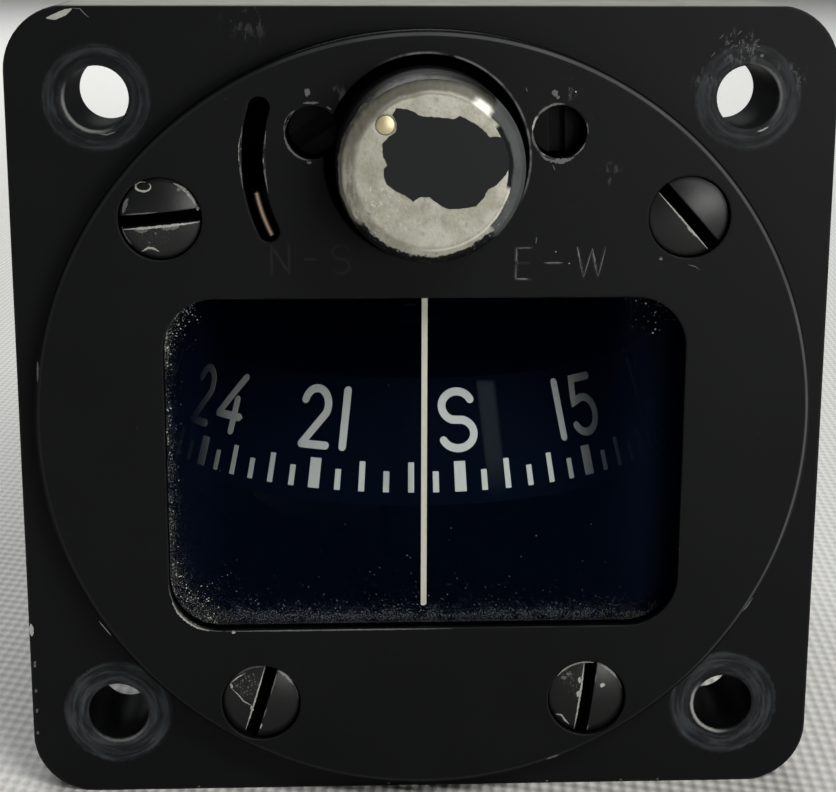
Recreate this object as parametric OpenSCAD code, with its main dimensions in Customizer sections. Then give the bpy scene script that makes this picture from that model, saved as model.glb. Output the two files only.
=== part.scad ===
// Panel-mounted standby magnetic compass: liquid-filled bowl, conical card on a
// jewelled pivot, lamp under a screw cap, and two geared deviation correctors.
// X is right seen from the front, Y runs into the panel, Z is up.
// The origin is the centre of the flange's rear face, where it meets the panel.

/* [Flange] */
// Side of the square mounting flange
flange_side = 60.3; // [59.5:0.1:62]
// Thickness of the flange
flange_t = 9; // [8.5:0.1:10]
// Radius of the flange's corners
flange_corner_r = 4.7; // [3.5:0.1:6]
// Pitch of the four panel holes, both ways
bolt_pitch = 47.15; // [46.6:0.05:47.6]
// Diameter of the panel holes
bolt_hole_d = 4.6; // [4.3:0.1:5]

/* [Face] */
// Overhang of the raised front plate past the barrel
face_lip = 1.05; // [0.8:0.05:1.4]
// Height of the front plate above the flange
face_proud = 3.2; // [3:0.1:3.8]
// Worn bevel at the edge of the front plate
face_bevel = 0.35; // [0.2:0.05:0.6]
// Width of the window
window_w = 38.2; // [36:0.2:38.6]
// Height of the window
window_h = 25.3; // [24:0.1:25.6]
// Height of the window's centre
window_z = -3.2; // [-3.6:0.1:-3]
// Radius of the window's corners
window_corner_r = 3.8; // [3:0.1:4.4]
// Depth of the lip in front of the glass
window_lip = 1.3; // [1.1:0.1:1.5]
// Thickness of the window glass
glass_t = 1.5; // [1.2:0.1:1.6]
// Distance of the front plate screws in from the barrel's outside
face_screw_in = 2.85; // [2.7:0.05:3]
// Drop of the middle of the front plate screws below the barrel's axis
face_screw_drop = 0.4; // [0.3:0.05:0.5]
// Diameter of the front plate screw heads
face_head_d = 5.8; // [5.4:0.1:6]

/* [Lamp] */
// Height of the lamp axis above the middle of the corrector bay
lamp_rise = 0.8; // [0.5:0.05:1]
// Wall of the lamp cap round the socket tube
cap_wall = 1.46; // [1.2:0.02:1.6]
// Height of the lamp cap above the front plate
cap_proud = 7.3; // [6.8:0.1:8]
// Room between the lamp socket tube and the bay, each way
socket_room = 2.25; // [2.15:0.05:2.4]
// Wall between the dimmer slot and the nearer spindle hole
slot_wall = 1.625; // [1.6:0.025:1.8]
// Width of the dimmer slot
slot_w = 1.55; // [1.4:0.05:1.6]

/* [Correctors] */
// Half the distance between the spindles against the barrel's radius
adjust_share = 0.32; // [0.318:0.0005:0.3235]
// Distance of the spindles' middle to the right of the lamp axis
adjust_side = 0.7; // [0.6:0.05:0.8]
// Distance of the corrector spindles down from the barrel's outside
adjust_drop = 6.1; // [6:0.05:6.2]
// Diameter of the corrector access holes
adjust_hole_d = 3.8; // [3.6:0.1:4]
// Tooth module of the gears against the spindles' height above the roof
gear_share = 0.040404; // [0.0395:0.0001:0.0408]
// Distance of the rod magnets' ends inside the gear hub
magnet_inset = 0.1; // [0.05:0.05:0.4]

/* [Card] */
// Radius of the card at its lower edge
card_r = 22.58; // [22:0.05:22.8]
// Height of the card's lower edge
card_z = -7.88; // [-8.2:0.05:-7.5]
// Height of the printed band of the card
card_h = 9.4; // [8.8:0.1:9.8]
// Inward lean of the card for each millimetre of height
card_lean = 0.31; // [0.28:0.005:0.33]
// Depth of the card's axis behind the panel
card_y = 16; // [15.8:0.1:16.4]
// Width of the lubber line
lubber_w = 0.6; // [0.5:0.05:0.8]

/* [Case] */
// Outside radius of the case barrel
case_r = 27.5; // [27.4:0.05:27.8]
// Wall of the case barrel
case_wall = 1.5; // [1.4:0.05:1.6]
// Length of the case barrel behind the panel
case_len = 41; // [40.8:0.2:44]
// Length of the rear cover
cover_len = 14.5; // [14:0.1:17]
// Distance of the rear screws in from the barrel's outside
rear_screw_in = 3.03; // [2.9:0.01:3.3]
// Outside radius of the bellows
bellows_r = 13; // [12:0.1:13.6]

/* [Hidden] */
$fn = 64;
eps = 0.02;
// Clearance between fixed pieces that slip together
slip = 0.05;
// Radial clearance of running fits
run = 0.04;
// Space kept between pieces that pass each other
pass = 0.3;

flange_front = -flange_t;
face_y = flange_front - face_proud;
bore_r = case_r - case_wall;
face_d = 2 * (case_r + face_lip);
face_screw_r = case_r - face_screw_in;
ns_x = adjust_side - adjust_share * case_r;
ew_x = adjust_side + adjust_share * case_r;
adjust_z = case_r - adjust_drop;
rear_screw_at = (case_r - rear_screw_in) / sqrt(2);

window_top = window_z + window_h / 2;
roof_under = window_top + 0.55;
roof_t = 1.5;
roof_top = roof_under + roof_t;
front_wall_t = 2.5;
lamp_z = (roof_top + bore_r) / 2 + lamp_rise;
glass_y = face_y + window_lip;
seal_y = glass_y + glass_t;
pane_w = window_w + 4;
pane_h = window_h + 4;
sight_w = window_w + 1.3;
sight_h = window_h + 1.1;

thread_r = 1.25;
head_t = 2;
dome_r = 10;
// Walls left between the window and the screw heads above and below it
top_screw_wall = 2.93;
low_screw_wall = 2.95;
top_screw_z = window_top + face_head_d / 2 + top_screw_wall;
low_screw_z = window_z - window_h / 2 - face_head_d / 2 - low_screw_wall;
top_screw_a = asin((top_screw_z + face_screw_drop) / face_screw_r);
low_screw_a = asin((low_screw_z + face_screw_drop) / face_screw_r);
face_screws_at = [
    [180 - top_screw_a, 5.5],
    [top_screw_a, -48],
    [180 - low_screw_a, 73],
    [low_screw_a, 83]
];

socket_r = (bore_r - roof_top) / 2 - socket_room;
socket_wall = 1;
cap_r = socket_r + run + cap_wall;
cap_y = face_y - cap_proud;
cap_end_t = 1.4;
rivet_r = 0.64;
rivet_dome = 2.2;
rivet_x = 0.68 * cap_r * cos(135.5);
rivet_z = lamp_z + 0.68 * cap_r * sin(135.5);
cap_seat_depth = 1.2;
cap_seat_r = cap_r + 0.85;
cap_skirt_y = face_y + cap_seat_depth - pass;
nose_y = cap_y + cap_end_t + pass;
shoulder_t = 1;
socket_rear = 5;
sleeve_y0 = flange_front + shoulder_t + 0.1;
sleeve_y1 = flange_front + 8.4;
sleeve_r = socket_r + 0.8;
grip_r = socket_r - socket_wall - 0.2;
grip_wall = 0.35;
bulb_r = grip_r - grip_wall - 0.75;
bulb_seat_y = 2.1;
slot_r = -ns_x + adjust_hole_d / 2 + slot_wall + slot_w / 2;
slot_from = 163;
slot_to = 204.7;
tab_a = 199.2;
tab_half = 7.5;
tab_w = 0.4;
arm_a = 212;
arm_half = 0.6;
arm_t = 0.8;
relief_top = lamp_z + slot_r * sin(180 - slot_from) + 1;

gear_module = gear_share * (adjust_z - roof_top);
pinion_n = 10;
gear_n = 20;
pinion_pr = gear_module * pinion_n / 2;
gear_pr = gear_module * gear_n / 2;
addendum = 0.85 * gear_module;
dedendum = 1.2 * gear_module;
gear_or = gear_pr + addendum;
backlash_deg = 1.5;
ns_drop_a = 237.8;
mesh_d = pinion_pr + gear_pr;
ns_lead_x = ns_x + mesh_d * cos(ns_drop_a);
ns_z = adjust_z + mesh_d * sin(ns_drop_a);
ns_trail_x = ns_lead_x + 2 * gear_pr;
hub_r = 0.85 * gear_pr;
magnet_len = 2 * (hub_r - magnet_inset);
rod_r = 0.25 * gear_pr;
pivot_r = 0.2 * gear_pr;
spindle_r = 1;
spindle_y = face_y + 2.3;
frame_y0 = socket_rear + 2;
plate_t = 1.2;
ns_gear_y = frame_y0 + plate_t + 1.2;
ns_gear_t = 1.6;
ns_hub_t = 3;
frame_y1 = ns_gear_y + ns_gear_t + ns_hub_t + 1;
frame_base_t = 1.2;
frame_top = roof_top + frame_base_t;
ew_y = frame_y1 + plate_t + 1.4 + gear_or;
ew_lead_x = ew_x;
ew_trail_x = ew_x - 2 * gear_pr;
crown_pitch_z = adjust_z - pinion_pr;
crown_tip_z = crown_pitch_z + 0.75 * gear_module;
crown_root_z = crown_pitch_z - 1.35 * gear_module;
crown_half = 0.75 * gear_module;
ew_gear_z = frame_top + 0.5;
ew_stack = crown_root_z - ew_gear_z;
ew_gear_t = 0.283 * ew_stack;
ew_hub_t = 0.46 * ew_stack;
ew_hub_z = ew_gear_z + ew_gear_t;
ew_rod_r = 0.3 * ew_hub_t;
stud_r = 0.25 * gear_pr;
frame_y_end = ew_y + gear_or + 2.4;
frame_x0 = ns_lead_x - gear_or - 0.96;
frame_x1 = ew_lead_x + gear_or + 1.46;
frame_screws_at = [[ns_lead_x + 0.2, ew_y - 2], [(ew_lead_x + ew_trail_x) / 2, frame_y_end - 1.7]];
clip_t = 0.4;
ns_lead_phase = ns_drop_a - 180 + 180 / gear_n;
ns_off = ns_lead_phase - round(ns_lead_phase / (360 / gear_n)) * 360 / gear_n;

ring_t = 0.8;
card_top = card_z + card_h;
hub_top = card_top + 2;
deck_r = card_r - card_lean * card_h - ring_t - slip;
float_low = card_top - 5.5;
magnet_t = 2.4;
tip_z = card_top - 5.1;
jewel_r = 1.1;
jewel_top = tip_z + 0.5;
jewel_h = 1.1;
holder_r = 1.4;
holder_h = 4.4;
cushion_h = 2;
holder_z = jewel_top - jewel_h - holder_h;
post_top = jewel_top - jewel_h - 1.2;
post_r = 2.6;
foot_z = -21;

gasket_t = 0.6;
rear_t = 2.5;
gasket_y = case_len;
rear_y = gasket_y + gasket_t;
cover_y = rear_y + rear_t;
cover_end = cover_y + cover_len;
cover_wall = 1.5;
boss_r = 2.8;
rear_screw_spots = [[-1, 1], [1, 1], [-1, -1], [1, -1]];
bellows_z = -4;
bellows_wall = 0.45;
bellows_len = cover_len - cover_wall - 4.6;
fold_n = 4;
grommet_r = 3.5;
filler_y = case_len - 7;
filler_face = case_r - 1.9;
filler_r = 2.2;
filler_head_r = 3.2;

// A solid between two depths from a shape drawn as seen from the front
module slab(y0, y1) {
    translate([0, y1, 0])
        rotate([90, 0, 0])
            linear_extrude(y1 - y0)
                children();
}

// A round bar along Y
module bar_y(x, z, r, y0, y1) {
    translate([x, y1, z])
        rotate([90, 0, 0])
            cylinder(r = r, h = y1 - y0);
}

// Place of a front plate screw at an angle round the middle of the screws
function screw_x(a) = face_screw_r * cos(a);
function screw_z(a) = face_screw_r * sin(a) - face_screw_drop;

// A round bar along Y on the circle of the front plate screws
module screw_bar(a, r, y0, y1) {
    bar_y(screw_x(a), screw_z(a), r, y0, y1);
}

// A round bar along Y on the axis of a rear screw
module rear_bar(s, r, y0, y1) {
    bar_y(s[0] * rear_screw_at, s[1] * rear_screw_at, r, y0, y1);
}

// A turned piece about an axis along Y, drawn as radius against depth
module turned_y(x, z) {
    translate([x, 0, z])
        rotate([-90, 0, 0])
            rotate_extrude()
                children();
}

// A flat rectangle with round corners
module round_rect(w, h, r) {
    square([w - 2 * r, h], center = true);
    square([w, h - 2 * r], center = true);
    for (sx = [-1, 1], sz = [-1, 1])
        translate([sx * (w / 2 - r), sz * (h / 2 - r)])
            circle(r);
}

// The point of the front at a radius and an angle
function around(r, a) = [r * cos(a), r * sin(a)];

function involute(a) = tan(a) * 180 / PI - a;

function half_tooth(n, r) =
    let (base = gear_module * n / 2 * cos(20))
    90 / n - backlash_deg * gear_n / n * 0.5 + involute(20) - involute(acos(min(1, base / r)));

function tooth_radii(n) =
    let (p = gear_module * n / 2)
    [p - dedendum, max(p - 0.6 * dedendum, p * cos(20)), p, p + 0.5 * addendum, p + addendum];

// Outline of a spur gear with a tooth at angle zero
module gear_outline(n) {
    radii = tooth_radii(n);
    last = len(radii) - 1;
    polygon([
        for (i = [0 : n - 1])
            each concat(
                [for (k = [0 : last]) around(radii[k], i * 360 / n - half_tooth(n, radii[k]))],
                [for (k = [0 : last]) around(radii[last - k], i * 360 / n + half_tooth(n, radii[last - k]))]
            )
    ]);
}

// A screw head slot across a bar along Y, opening towards the front
module slot_y(x, z, y, w, depth, angle, length) {
    translate([x, y, z])
        rotate([0, -angle, 0])
            translate([-length / 2, -eps, -w / 2])
                cube([length, depth + eps, w]);
}

// Painted casting: square flange, barrel, bowl, roof and corrector bay
module case_body() {
    color([0.06, 0.06, 0.065])
    difference() {
        union() {
            slab(flange_front, 0)
                round_rect(flange_side, flange_side, flange_corner_r);
            difference() {
                bar_y(0, 0, case_r, -eps, case_len);
                bar_y(0, 0, bore_r, -2 * eps, case_len + eps);
            }
            // Roof between the bowl and the corrector bay
            intersection() {
                bar_y(0, 0, bore_r + 0.2, -eps, case_len);
                translate([-case_r, -eps, roof_under])
                    cube([2 * case_r, case_len + eps, roof_t]);
            }
            // Tapped bosses for the rear screws
            intersection() {
                bar_y(0, 0, bore_r + 0.2, 0, case_len);
                for (s = rear_screw_spots)
                    rear_bar(s, boss_r, case_len - 12, case_len);
            }
            // Boss for the pivot post
            intersection() {
                bar_y(0, 0, bore_r + 0.2, 0, case_len);
                translate([0, card_y, -case_r])
                    cylinder(r = 5.5, h = case_r + foot_z);
            }
            // Boss for the filler plug
            intersection() {
                bar_y(0, 0, bore_r + 0.2, 0, case_len);
                translate([bore_r - 4, filler_y, 0])
                    rotate([0, 90, 0])
                        cylinder(r = 4.6, h = 5);
            }
        }
        // Bowl inside the flange
        difference() {
            bar_y(0, 0, bore_r, flange_front + front_wall_t, 0);
            translate([-case_r, flange_front, roof_under])
                cube([2 * case_r, flange_t + 1, case_r]);
            for (s = face_screws_at)
                if (sin(s[0]) < 0)
                    screw_bar(s[0], 3, flange_front, 1);
        }
        // Corrector bay inside the flange, open to the front
        difference() {
            bar_y(0, 0, bore_r, flange_front - eps, eps);
            translate([-case_r, flange_front - 1, -case_r])
                cube([2 * case_r, flange_t + 2, case_r + roof_top]);
            for (s = face_screws_at)
                if (sin(s[0]) > 0)
                    screw_bar(s[0], 3, flange_front - 1, 1);
        }
        // Sight opening behind the glass
        translate([0, 0, window_z])
            slab(flange_front - eps, flange_front + front_wall_t + eps)
                round_rect(sight_w, sight_h, window_corner_r + 0.5);
        // Relief for the dimmer arm
        intersection() {
            bar_y(0, lamp_z, slot_r + slot_w, flange_front - eps, sleeve_y0 + arm_t + pass);
            translate([-case_r, flange_front - 1, roof_top])
                cube([case_r + ns_x, flange_t, relief_top - roof_top]);
        }
        // Panel holes
        for (sx = [-1, 1], sz = [-1, 1])
            bar_y(sx * bolt_pitch / 2, sz * bolt_pitch / 2, bolt_hole_d / 2, flange_front - 1, 1);
        // Tapped holes for the front plate screws
        for (s = face_screws_at)
            screw_bar(s[0], thread_r + slip, flange_front - eps, -0.8);
        // Tapped holes for the rear screws
        for (s = rear_screw_spots)
            rear_bar(s, thread_r + slip, case_len - 10, case_len + eps);
        // Hole for the light guide
        translate([-3, flange_front + 1.6, roof_under - 1])
            cube([6, 5, roof_t + 2]);
        // Tapped hole for the pivot post
        translate([0, card_y, foot_z - 4])
            cylinder(r = 1.6 + slip, h = 4 + eps);
        // Spot face and hole for the filler plug
        translate([filler_face, filler_y, 0])
            rotate([0, 90, 0])
                cylinder(r = filler_head_r + 0.3, h = 5);
        translate([bore_r - 5, filler_y, 0])
            rotate([0, 90, 0])
                cylinder(r = filler_r + slip, h = 8);
        // Tapped holes for the corrector frame
        for (p = frame_screws_at)
            translate([p[0], p[1], roof_top - 1.1])
                cylinder(r = 0.8 + slip, h = 2);
    }
}

// Raised round front plate that holds the window and carries the lamp
module front_plate() {
    color([0.07, 0.07, 0.075])
    difference() {
        turned_y(0, 0)
            polygon([
                [0, face_y], [face_d / 2 - face_bevel, face_y],
                [face_d / 2, face_y + face_bevel], [face_d / 2, flange_front], [0, flange_front]
            ]);
        translate([0, 0, window_z])
            slab(face_y - eps, flange_front + eps)
                round_rect(window_w, window_h, window_corner_r);
        translate([0, 0, window_z])
            slab(glass_y, flange_front + eps)
                round_rect(pane_w + 2 * slip, pane_h + 2 * slip, window_corner_r + 1);
        bar_y(0, lamp_z, cap_seat_r, face_y - eps, face_y + cap_seat_depth);
        bar_y(0, lamp_z, socket_r + slip, face_y - eps, flange_front + eps);
        for (x = [ns_x, ew_x])
            bar_y(x, adjust_z, adjust_hole_d / 2, face_y - eps, flange_front + eps);
        // Arc slot for the dimmer tab
        translate([0, 0, lamp_z])
            slab(face_y - eps, flange_front + eps)
                arc_band(slot_r, slot_w, slot_from, slot_to);
        for (a = [slot_from, slot_to])
            bar_y(slot_r * cos(a), lamp_z + slot_r * sin(a), slot_w / 2, face_y - eps, flange_front + eps);
        for (s = face_screws_at) {
            screw_bar(s[0], face_head_d / 2 + 0.1, face_y - eps, face_y + head_t);
            screw_bar(s[0], thread_r + 0.15, face_y, flange_front + eps);
        }
    }
}

// Part of a flat ring between two angles of less than a half turn
module arc_band(r, w, from, to) {
    intersection() {
        difference() {
            circle(r + w / 2);
            circle(r - w / 2);
        }
        polygon([[0, 0], around(2 * r, from), around(2.4 * r, (from + to) / 2), around(2 * r, to)]);
    }
}

// Four slotted screws that hold the front plate
module face_screws() {
    color([0.2, 0.2, 0.2])
    for (s = face_screws_at)
        difference() {
            union() {
                intersection() {
                    screw_bar(s[0], face_head_d / 2, face_y, face_y + head_t);
                    translate([screw_x(s[0]), face_y + 0.05 + dome_r, screw_z(s[0])])
                        sphere(dome_r);
                }
                screw_bar(s[0], thread_r, face_y + head_t - eps, -1);
            }
            slot_y(screw_x(s[0]), screw_z(s[0]), face_y, 0.9, 1.15, s[1], 10);
        }
}

// Flat window pane
module window_glass() {
    color([0.75, 0.8, 0.8, 0.3])
    translate([0, 0, window_z])
        slab(glass_y, seal_y)
            round_rect(pane_w, pane_h, window_corner_r + 1);
}

// Seal between the pane and the case
module window_seal() {
    color([0.08, 0.08, 0.08])
    translate([0, 0, window_z])
        difference() {
            slab(seal_y, flange_front)
                round_rect(pane_w, pane_h, window_corner_r + 1);
            slab(seal_y - eps, flange_front + eps)
                round_rect(sight_w, sight_h, window_corner_r + 0.5);
        }
}

// Fixed index line on the inner face of the pane
module lubber_line() {
    color([0.85, 0.8, 0.62])
    intersection() {
        translate([0, 0, window_z])
            slab(seal_y, flange_front + 0.2)
                round_rect(sight_w - 0.4, sight_h - 0.4, window_corner_r + 0.3);
        union() {
            translate([-lubber_w / 2, seal_y, window_z - window_h / 2 + 0.8 + lubber_w / 2])
                cube([lubber_w, 0.25, window_h]);
            bar_y(0, window_z - window_h / 2 + 0.8 + lubber_w / 2, lubber_w / 2, seal_y, seal_y + 0.25);
        }
    }
}

// Clear block that lets the lamplight through the roof into the bowl
module light_guide() {
    color([0.85, 0.88, 0.85, 0.5])
    union() {
        translate([-3 + slip, flange_front + 1.6 + slip, roof_under - 0.3])
            cube([6 - 2 * slip, 5 - 2 * slip, roof_t + 1]);
        translate([-3.8, flange_front + 0.9, roof_top])
            cube([7.6, 6.4, 1]);
    }
}

// Brass socket tube that carries the lamp cap
module lamp_socket() {
    color([0.72, 0.56, 0.28])
    difference() {
        turned_y(0, lamp_z)
            polygon([
                [socket_r - socket_wall, nose_y], [socket_r, nose_y], [socket_r, flange_front],
                [socket_r + 1.1, flange_front], [socket_r + 1.1, flange_front + shoulder_t],
                [socket_r, flange_front + shoulder_t], [socket_r, socket_rear],
                [socket_r - socket_wall, socket_rear]
            ]);
        translate([-2.4, sleeve_y0 + 1.4, lamp_z - socket_r - 1])
            cube([4.8, 4.4, 3]);
    }
}

// Ring that keeps the dimmer sleeve on the socket
module socket_clip() {
    color([0.6, 0.6, 0.62])
    turned_y(0, lamp_z)
        polygon([
            [socket_r + 0.02, sleeve_y1 + 0.1], [socket_r + 1.2, sleeve_y1 + 0.1],
            [socket_r + 1.2, sleeve_y1 + 0.9], [socket_r + 0.02, sleeve_y1 + 0.9]
        ]);
}

// Insulating disc at the back of the socket
module lamp_insulator() {
    color([0.35, 0.2, 0.12])
    difference() {
        bar_y(0, lamp_z, socket_r - socket_wall - 0.02, bulb_seat_y + 1, socket_rear);
        bar_y(0, lamp_z, 1 + 0.02, bulb_seat_y, socket_rear + 1);
    }
}

// Centre contact of the lamp
module lamp_contact() {
    color([0.75, 0.58, 0.3])
    union() {
        bar_y(0, lamp_z, 1.8, bulb_seat_y + 0.1, bulb_seat_y + 0.98);
        bar_y(0, lamp_z, 1, bulb_seat_y + 0.5, socket_rear + 1);
    }
}

// Sleeve with an arm and tab that shades the lamp's light slot
module dimmer_lever() {
    color([0.74, 0.52, 0.28])
    difference() {
        union() {
            bar_y(0, lamp_z, sleeve_r, sleeve_y0, sleeve_y1);
            translate([0, 0, lamp_z])
                slab(sleeve_y0, sleeve_y0 + arm_t) {
                    rotate(arm_a)
                        translate([0, -arm_half])
                            square([slot_r, 2 * arm_half]);
                    arc_band(slot_r, slot_w - 2 * 0.15, tab_a - tab_half, arm_a);
                }
            translate([0, 0, lamp_z])
                slab(face_y + 0.7, sleeve_y0 + arm_t)
                    arc_band(slot_r, tab_w, tab_a - tab_half, tab_a + tab_half);
        }
        bar_y(0, lamp_z, socket_r + run, face_y, sleeve_y1 + 1);
        translate([-2, sleeve_y0 + 1.6, lamp_z - sleeve_r - 1])
            cube([4, 4, 3.5]);
    }
}

// Screw cap over the lamp
module lamp_cap() {
    color([0.62, 0.62, 0.6])
    difference() {
        turned_y(0, lamp_z)
            polygon([
                [0, cap_y], [cap_r - 1.3, cap_y], [cap_r - 0.38, cap_y + 0.38], [cap_r, cap_y + 1.3],
                [cap_r, cap_skirt_y], [socket_r + run, cap_skirt_y],
                [socket_r + run, cap_y + cap_end_t], [0, cap_y + cap_end_t]
            ]);
        bar_y(rivet_x, rivet_z, rivet_r + eps, cap_y - 1, cap_y + cap_end_t + 1);
    }
}

// Small round-headed rivet through the end of the cap
module cap_rivet() {
    color([0.74, 0.6, 0.34])
    intersection() {
        bar_y(rivet_x, rivet_z, rivet_r, cap_y - 1, cap_y + cap_end_t);
        translate([rivet_x, cap_y - 0.15 + rivet_dome, rivet_z])
            sphere(r = rivet_dome);
    }
}

// Split spring sleeve that holds the bulb in the cap
module bulb_grip() {
    color([0.76, 0.6, 0.32])
    difference() {
        bar_y(0, lamp_z, grip_r, cap_y + cap_end_t, 0);
        bar_y(0, lamp_z, grip_r - grip_wall, cap_y, 1);
        for (a = [0, 90])
            translate([0, -9, lamp_z])
                rotate([0, a, 0])
                    translate([-1.2, 0, -8])
                        cube([2.4, 7, 16]);
    }
}

// Glass envelope of the bulb
module bulb_glass() {
    color([0.9, 0.88, 0.8, 0.4])
    union() {
        bar_y(0, lamp_z, bulb_r, -11, -3);
        translate([0, -11, lamp_z])
            sphere(bulb_r);
    }
}

// Metal base of the bulb
module bulb_base() {
    color([0.7, 0.6, 0.38])
    union() {
        bar_y(0, lamp_z, grip_r - grip_wall - 0.02, -3, 0.6);
        bar_y(0, lamp_z, grip_r - grip_wall - 0.5, 0.6, 1.6);
        bar_y(0, lamp_z, 1.2, 1.6, bulb_seat_y);
    }
}

// Corrector frame with two bearing plates on a base
module corrector_frame() {
    color([0.66, 0.66, 0.64])
    difference() {
        intersection() {
            union() {
                translate([frame_x0, frame_y0, roof_top])
                    cube([frame_x1 - frame_x0, frame_y_end - frame_y0, frame_base_t]);
                for (y = [frame_y0, frame_y1])
                    translate([frame_x0, y, roof_top])
                        cube([frame_x1 - frame_x0 - 1.8, plate_t, case_r]);
            }
            bar_y(0, 0, bore_r - 0.5, frame_y0 - 1, frame_y_end + 1);
            translate([-case_r, 0, 0])
                cube([2 * case_r, case_len, adjust_z + 2.2]);
        }
        // Space under the athwartships gears
        translate([frame_x0 + 0.4, frame_y0 + plate_t, roof_top - 1])
            cube([ns_trail_x + gear_or + 0.76 - frame_x0 - 0.4, frame_y1 - frame_y0 - plate_t, 4]);
        for (x = [ns_x, ew_x])
            bar_y(x, adjust_z, spindle_r + run, frame_y0 - 1, frame_y1 + plate_t + 1);
        for (x = [ns_lead_x, ns_trail_x])
            bar_y(x, ns_z, pivot_r + run, frame_y0 - 1, frame_y1 + plate_t + 1);
        for (x = [ew_lead_x, ew_trail_x])
            translate([x, ew_y, roof_top - 1])
                cylinder(r = stud_r + slip, h = 4);
        for (p = frame_screws_at)
            translate([p[0], p[1], roof_top - 1])
                cylinder(r = 0.8 + 0.1, h = 4);
    }
}

// Two screws that hold the corrector frame on the roof
module frame_screws() {
    color([0.6, 0.6, 0.62])
    for (p = frame_screws_at)
        translate([p[0], p[1], 0])
            difference() {
                union() {
                    translate([0, 0, roof_top - 1])
                        cylinder(r = 0.8, h = frame_base_t + 1.2);
                    translate([0, 0, frame_top])
                        cylinder(r = 1.6, h = 1);
                }
                translate([-2, -0.25, frame_top + 0.5])
                    cube([4, 0.5, 1]);
            }
}

// Fixed studs that the cross gears turn on
module gear_studs() {
    color([0.68, 0.68, 0.7])
    for (p = [[ew_lead_x, crown_root_z + clip_t + 0.3], [ew_trail_x, ew_hub_z + ew_hub_t + clip_t + 0.4]])
        translate([p[0], ew_y, 0]) {
            translate([0, 0, roof_top])
                cylinder(r = stud_r, h = p[1] - roof_top);
            translate([0, 0, frame_top])
                cylinder(r = 1.8, h = 0.4);
        }
}

// Retaining washers on the studs
module stud_clips() {
    color([0.62, 0.62, 0.64])
    for (p = [[ew_lead_x, crown_root_z + 0.1], [ew_trail_x, ew_hub_z + ew_hub_t + 0.1]])
        translate([p[0], ew_y, p[1]])
            difference() {
                cylinder(r = 1.8, h = clip_t);
                translate([0, 0, -1])
                    cylinder(r = stud_r + 0.02, h = 3);
            }
}

// Slotted spindle with its pinion
module spindle(x, pinion_y, pinion_t, end_y) {
    difference() {
        union() {
            bar_y(x, adjust_z, adjust_hole_d / 2 - 0.15, spindle_y, sleeve_y0 - 0.2);
            bar_y(x, adjust_z, spindle_r, sleeve_y0 - 0.3, end_y);
            translate([x, 0, adjust_z])
                slab(pinion_y, pinion_y + pinion_t)
                    rotate(x < 0 ? ns_drop_a : 270)
                        gear_outline(pinion_n);
            // Thrust collar in front of the bearing plate
            bar_y(x, adjust_z, 1.8, frame_y0 - 0.9, frame_y0 - 0.1);
        }
        slot_y(x, adjust_z, spindle_y, 1.2, 0.9, x < 0 ? 35 : 92, 6);
    }
}

// Spindle that turns the athwartships magnets
module ns_spindle() {
    color([0.74, 0.58, 0.3])
    spindle(ns_x, ns_gear_y - 0.2, ns_gear_t + 0.4, frame_y1 + plate_t + 0.4);
}

// Spindle that turns the fore-and-aft magnets
module ew_spindle() {
    color([0.74, 0.58, 0.3])
    spindle(ew_x, ew_y - gear_pr - 0.7, 1.4, ew_y - gear_pr + 1);
}

// Gear, hub and pivots about an axis along Y, with a cross hole for the rod magnet
module ns_gear(x, phase) {
    difference() {
        union() {
            translate([x, 0, ns_z])
                slab(ns_gear_y, ns_gear_y + ns_gear_t)
                    rotate(phase)
                        gear_outline(gear_n);
            bar_y(x, ns_z, hub_r, ns_gear_y + ns_gear_t - eps, ns_gear_y + ns_gear_t + ns_hub_t);
            bar_y(x, ns_z, pivot_r, frame_y0, frame_y1 + plate_t);
        }
        translate([x, ns_gear_y + ns_gear_t + ns_hub_t / 2, ns_z - 6])
            cylinder(r = rod_r + 0.02, h = 12);
    }
}

// First athwartships magnet gear
module ns_lead_gear() {
    color([0.76, 0.6, 0.3])
    ns_gear(ns_lead_x, ns_lead_phase);
}

// Second athwartships magnet gear
module ns_trail_gear() {
    color([0.76, 0.6, 0.3])
    ns_gear(ns_trail_x, 180 - ns_off + 180 / gear_n);
}

// Rod magnet across a gear hub
module ns_magnet(x) {
    translate([x, ns_gear_y + ns_gear_t + ns_hub_t / 2, ns_z - magnet_len / 2])
        cylinder(r = rod_r, h = magnet_len);
}

// Magnet of the first athwartships gear
module ns_lead_magnet() {
    color([0.3, 0.3, 0.33])
    ns_magnet(ns_lead_x);
}

// Magnet of the second athwartships gear
module ns_trail_magnet() {
    color([0.3, 0.3, 0.33])
    ns_magnet(ns_trail_x);
}

// Spur gear and hub on a vertical stud, with a cross hole for two short magnets
module ew_gear_body(x, phase) {
    translate([x, ew_y, ew_gear_z])
        linear_extrude(ew_gear_t)
            rotate(phase)
                gear_outline(gear_n);
    translate([x, ew_y, ew_hub_z - eps])
        cylinder(r = hub_r, h = ew_hub_t + eps);
}

module ew_gear_holes(x) {
    translate([x, ew_y, ew_gear_z - 1])
        cylinder(r = stud_r + run, h = 10);
    translate([x - 6, ew_y, ew_hub_z + ew_hub_t / 2])
        rotate([0, 90, 0])
            cylinder(r = ew_rod_r + 0.02, h = 12);
}

// One crown tooth: a straight bar with sloping flanks
module crown_tooth() {
    tip_half = crown_half - (crown_tip_z - crown_pitch_z) * tan(20);
    root_half = crown_half + (crown_pitch_z - crown_root_z) * tan(20);
    translate([gear_pr - 0.35, 0, 0])
        rotate([90, 0, 90])
            linear_extrude(0.7)
                polygon([
                    [-root_half, crown_root_z - 0.2], [root_half, crown_root_z - 0.2],
                    [root_half, crown_root_z], [tip_half, crown_tip_z],
                    [-tip_half, crown_tip_z], [-root_half, crown_root_z]
                ]);
}

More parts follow.
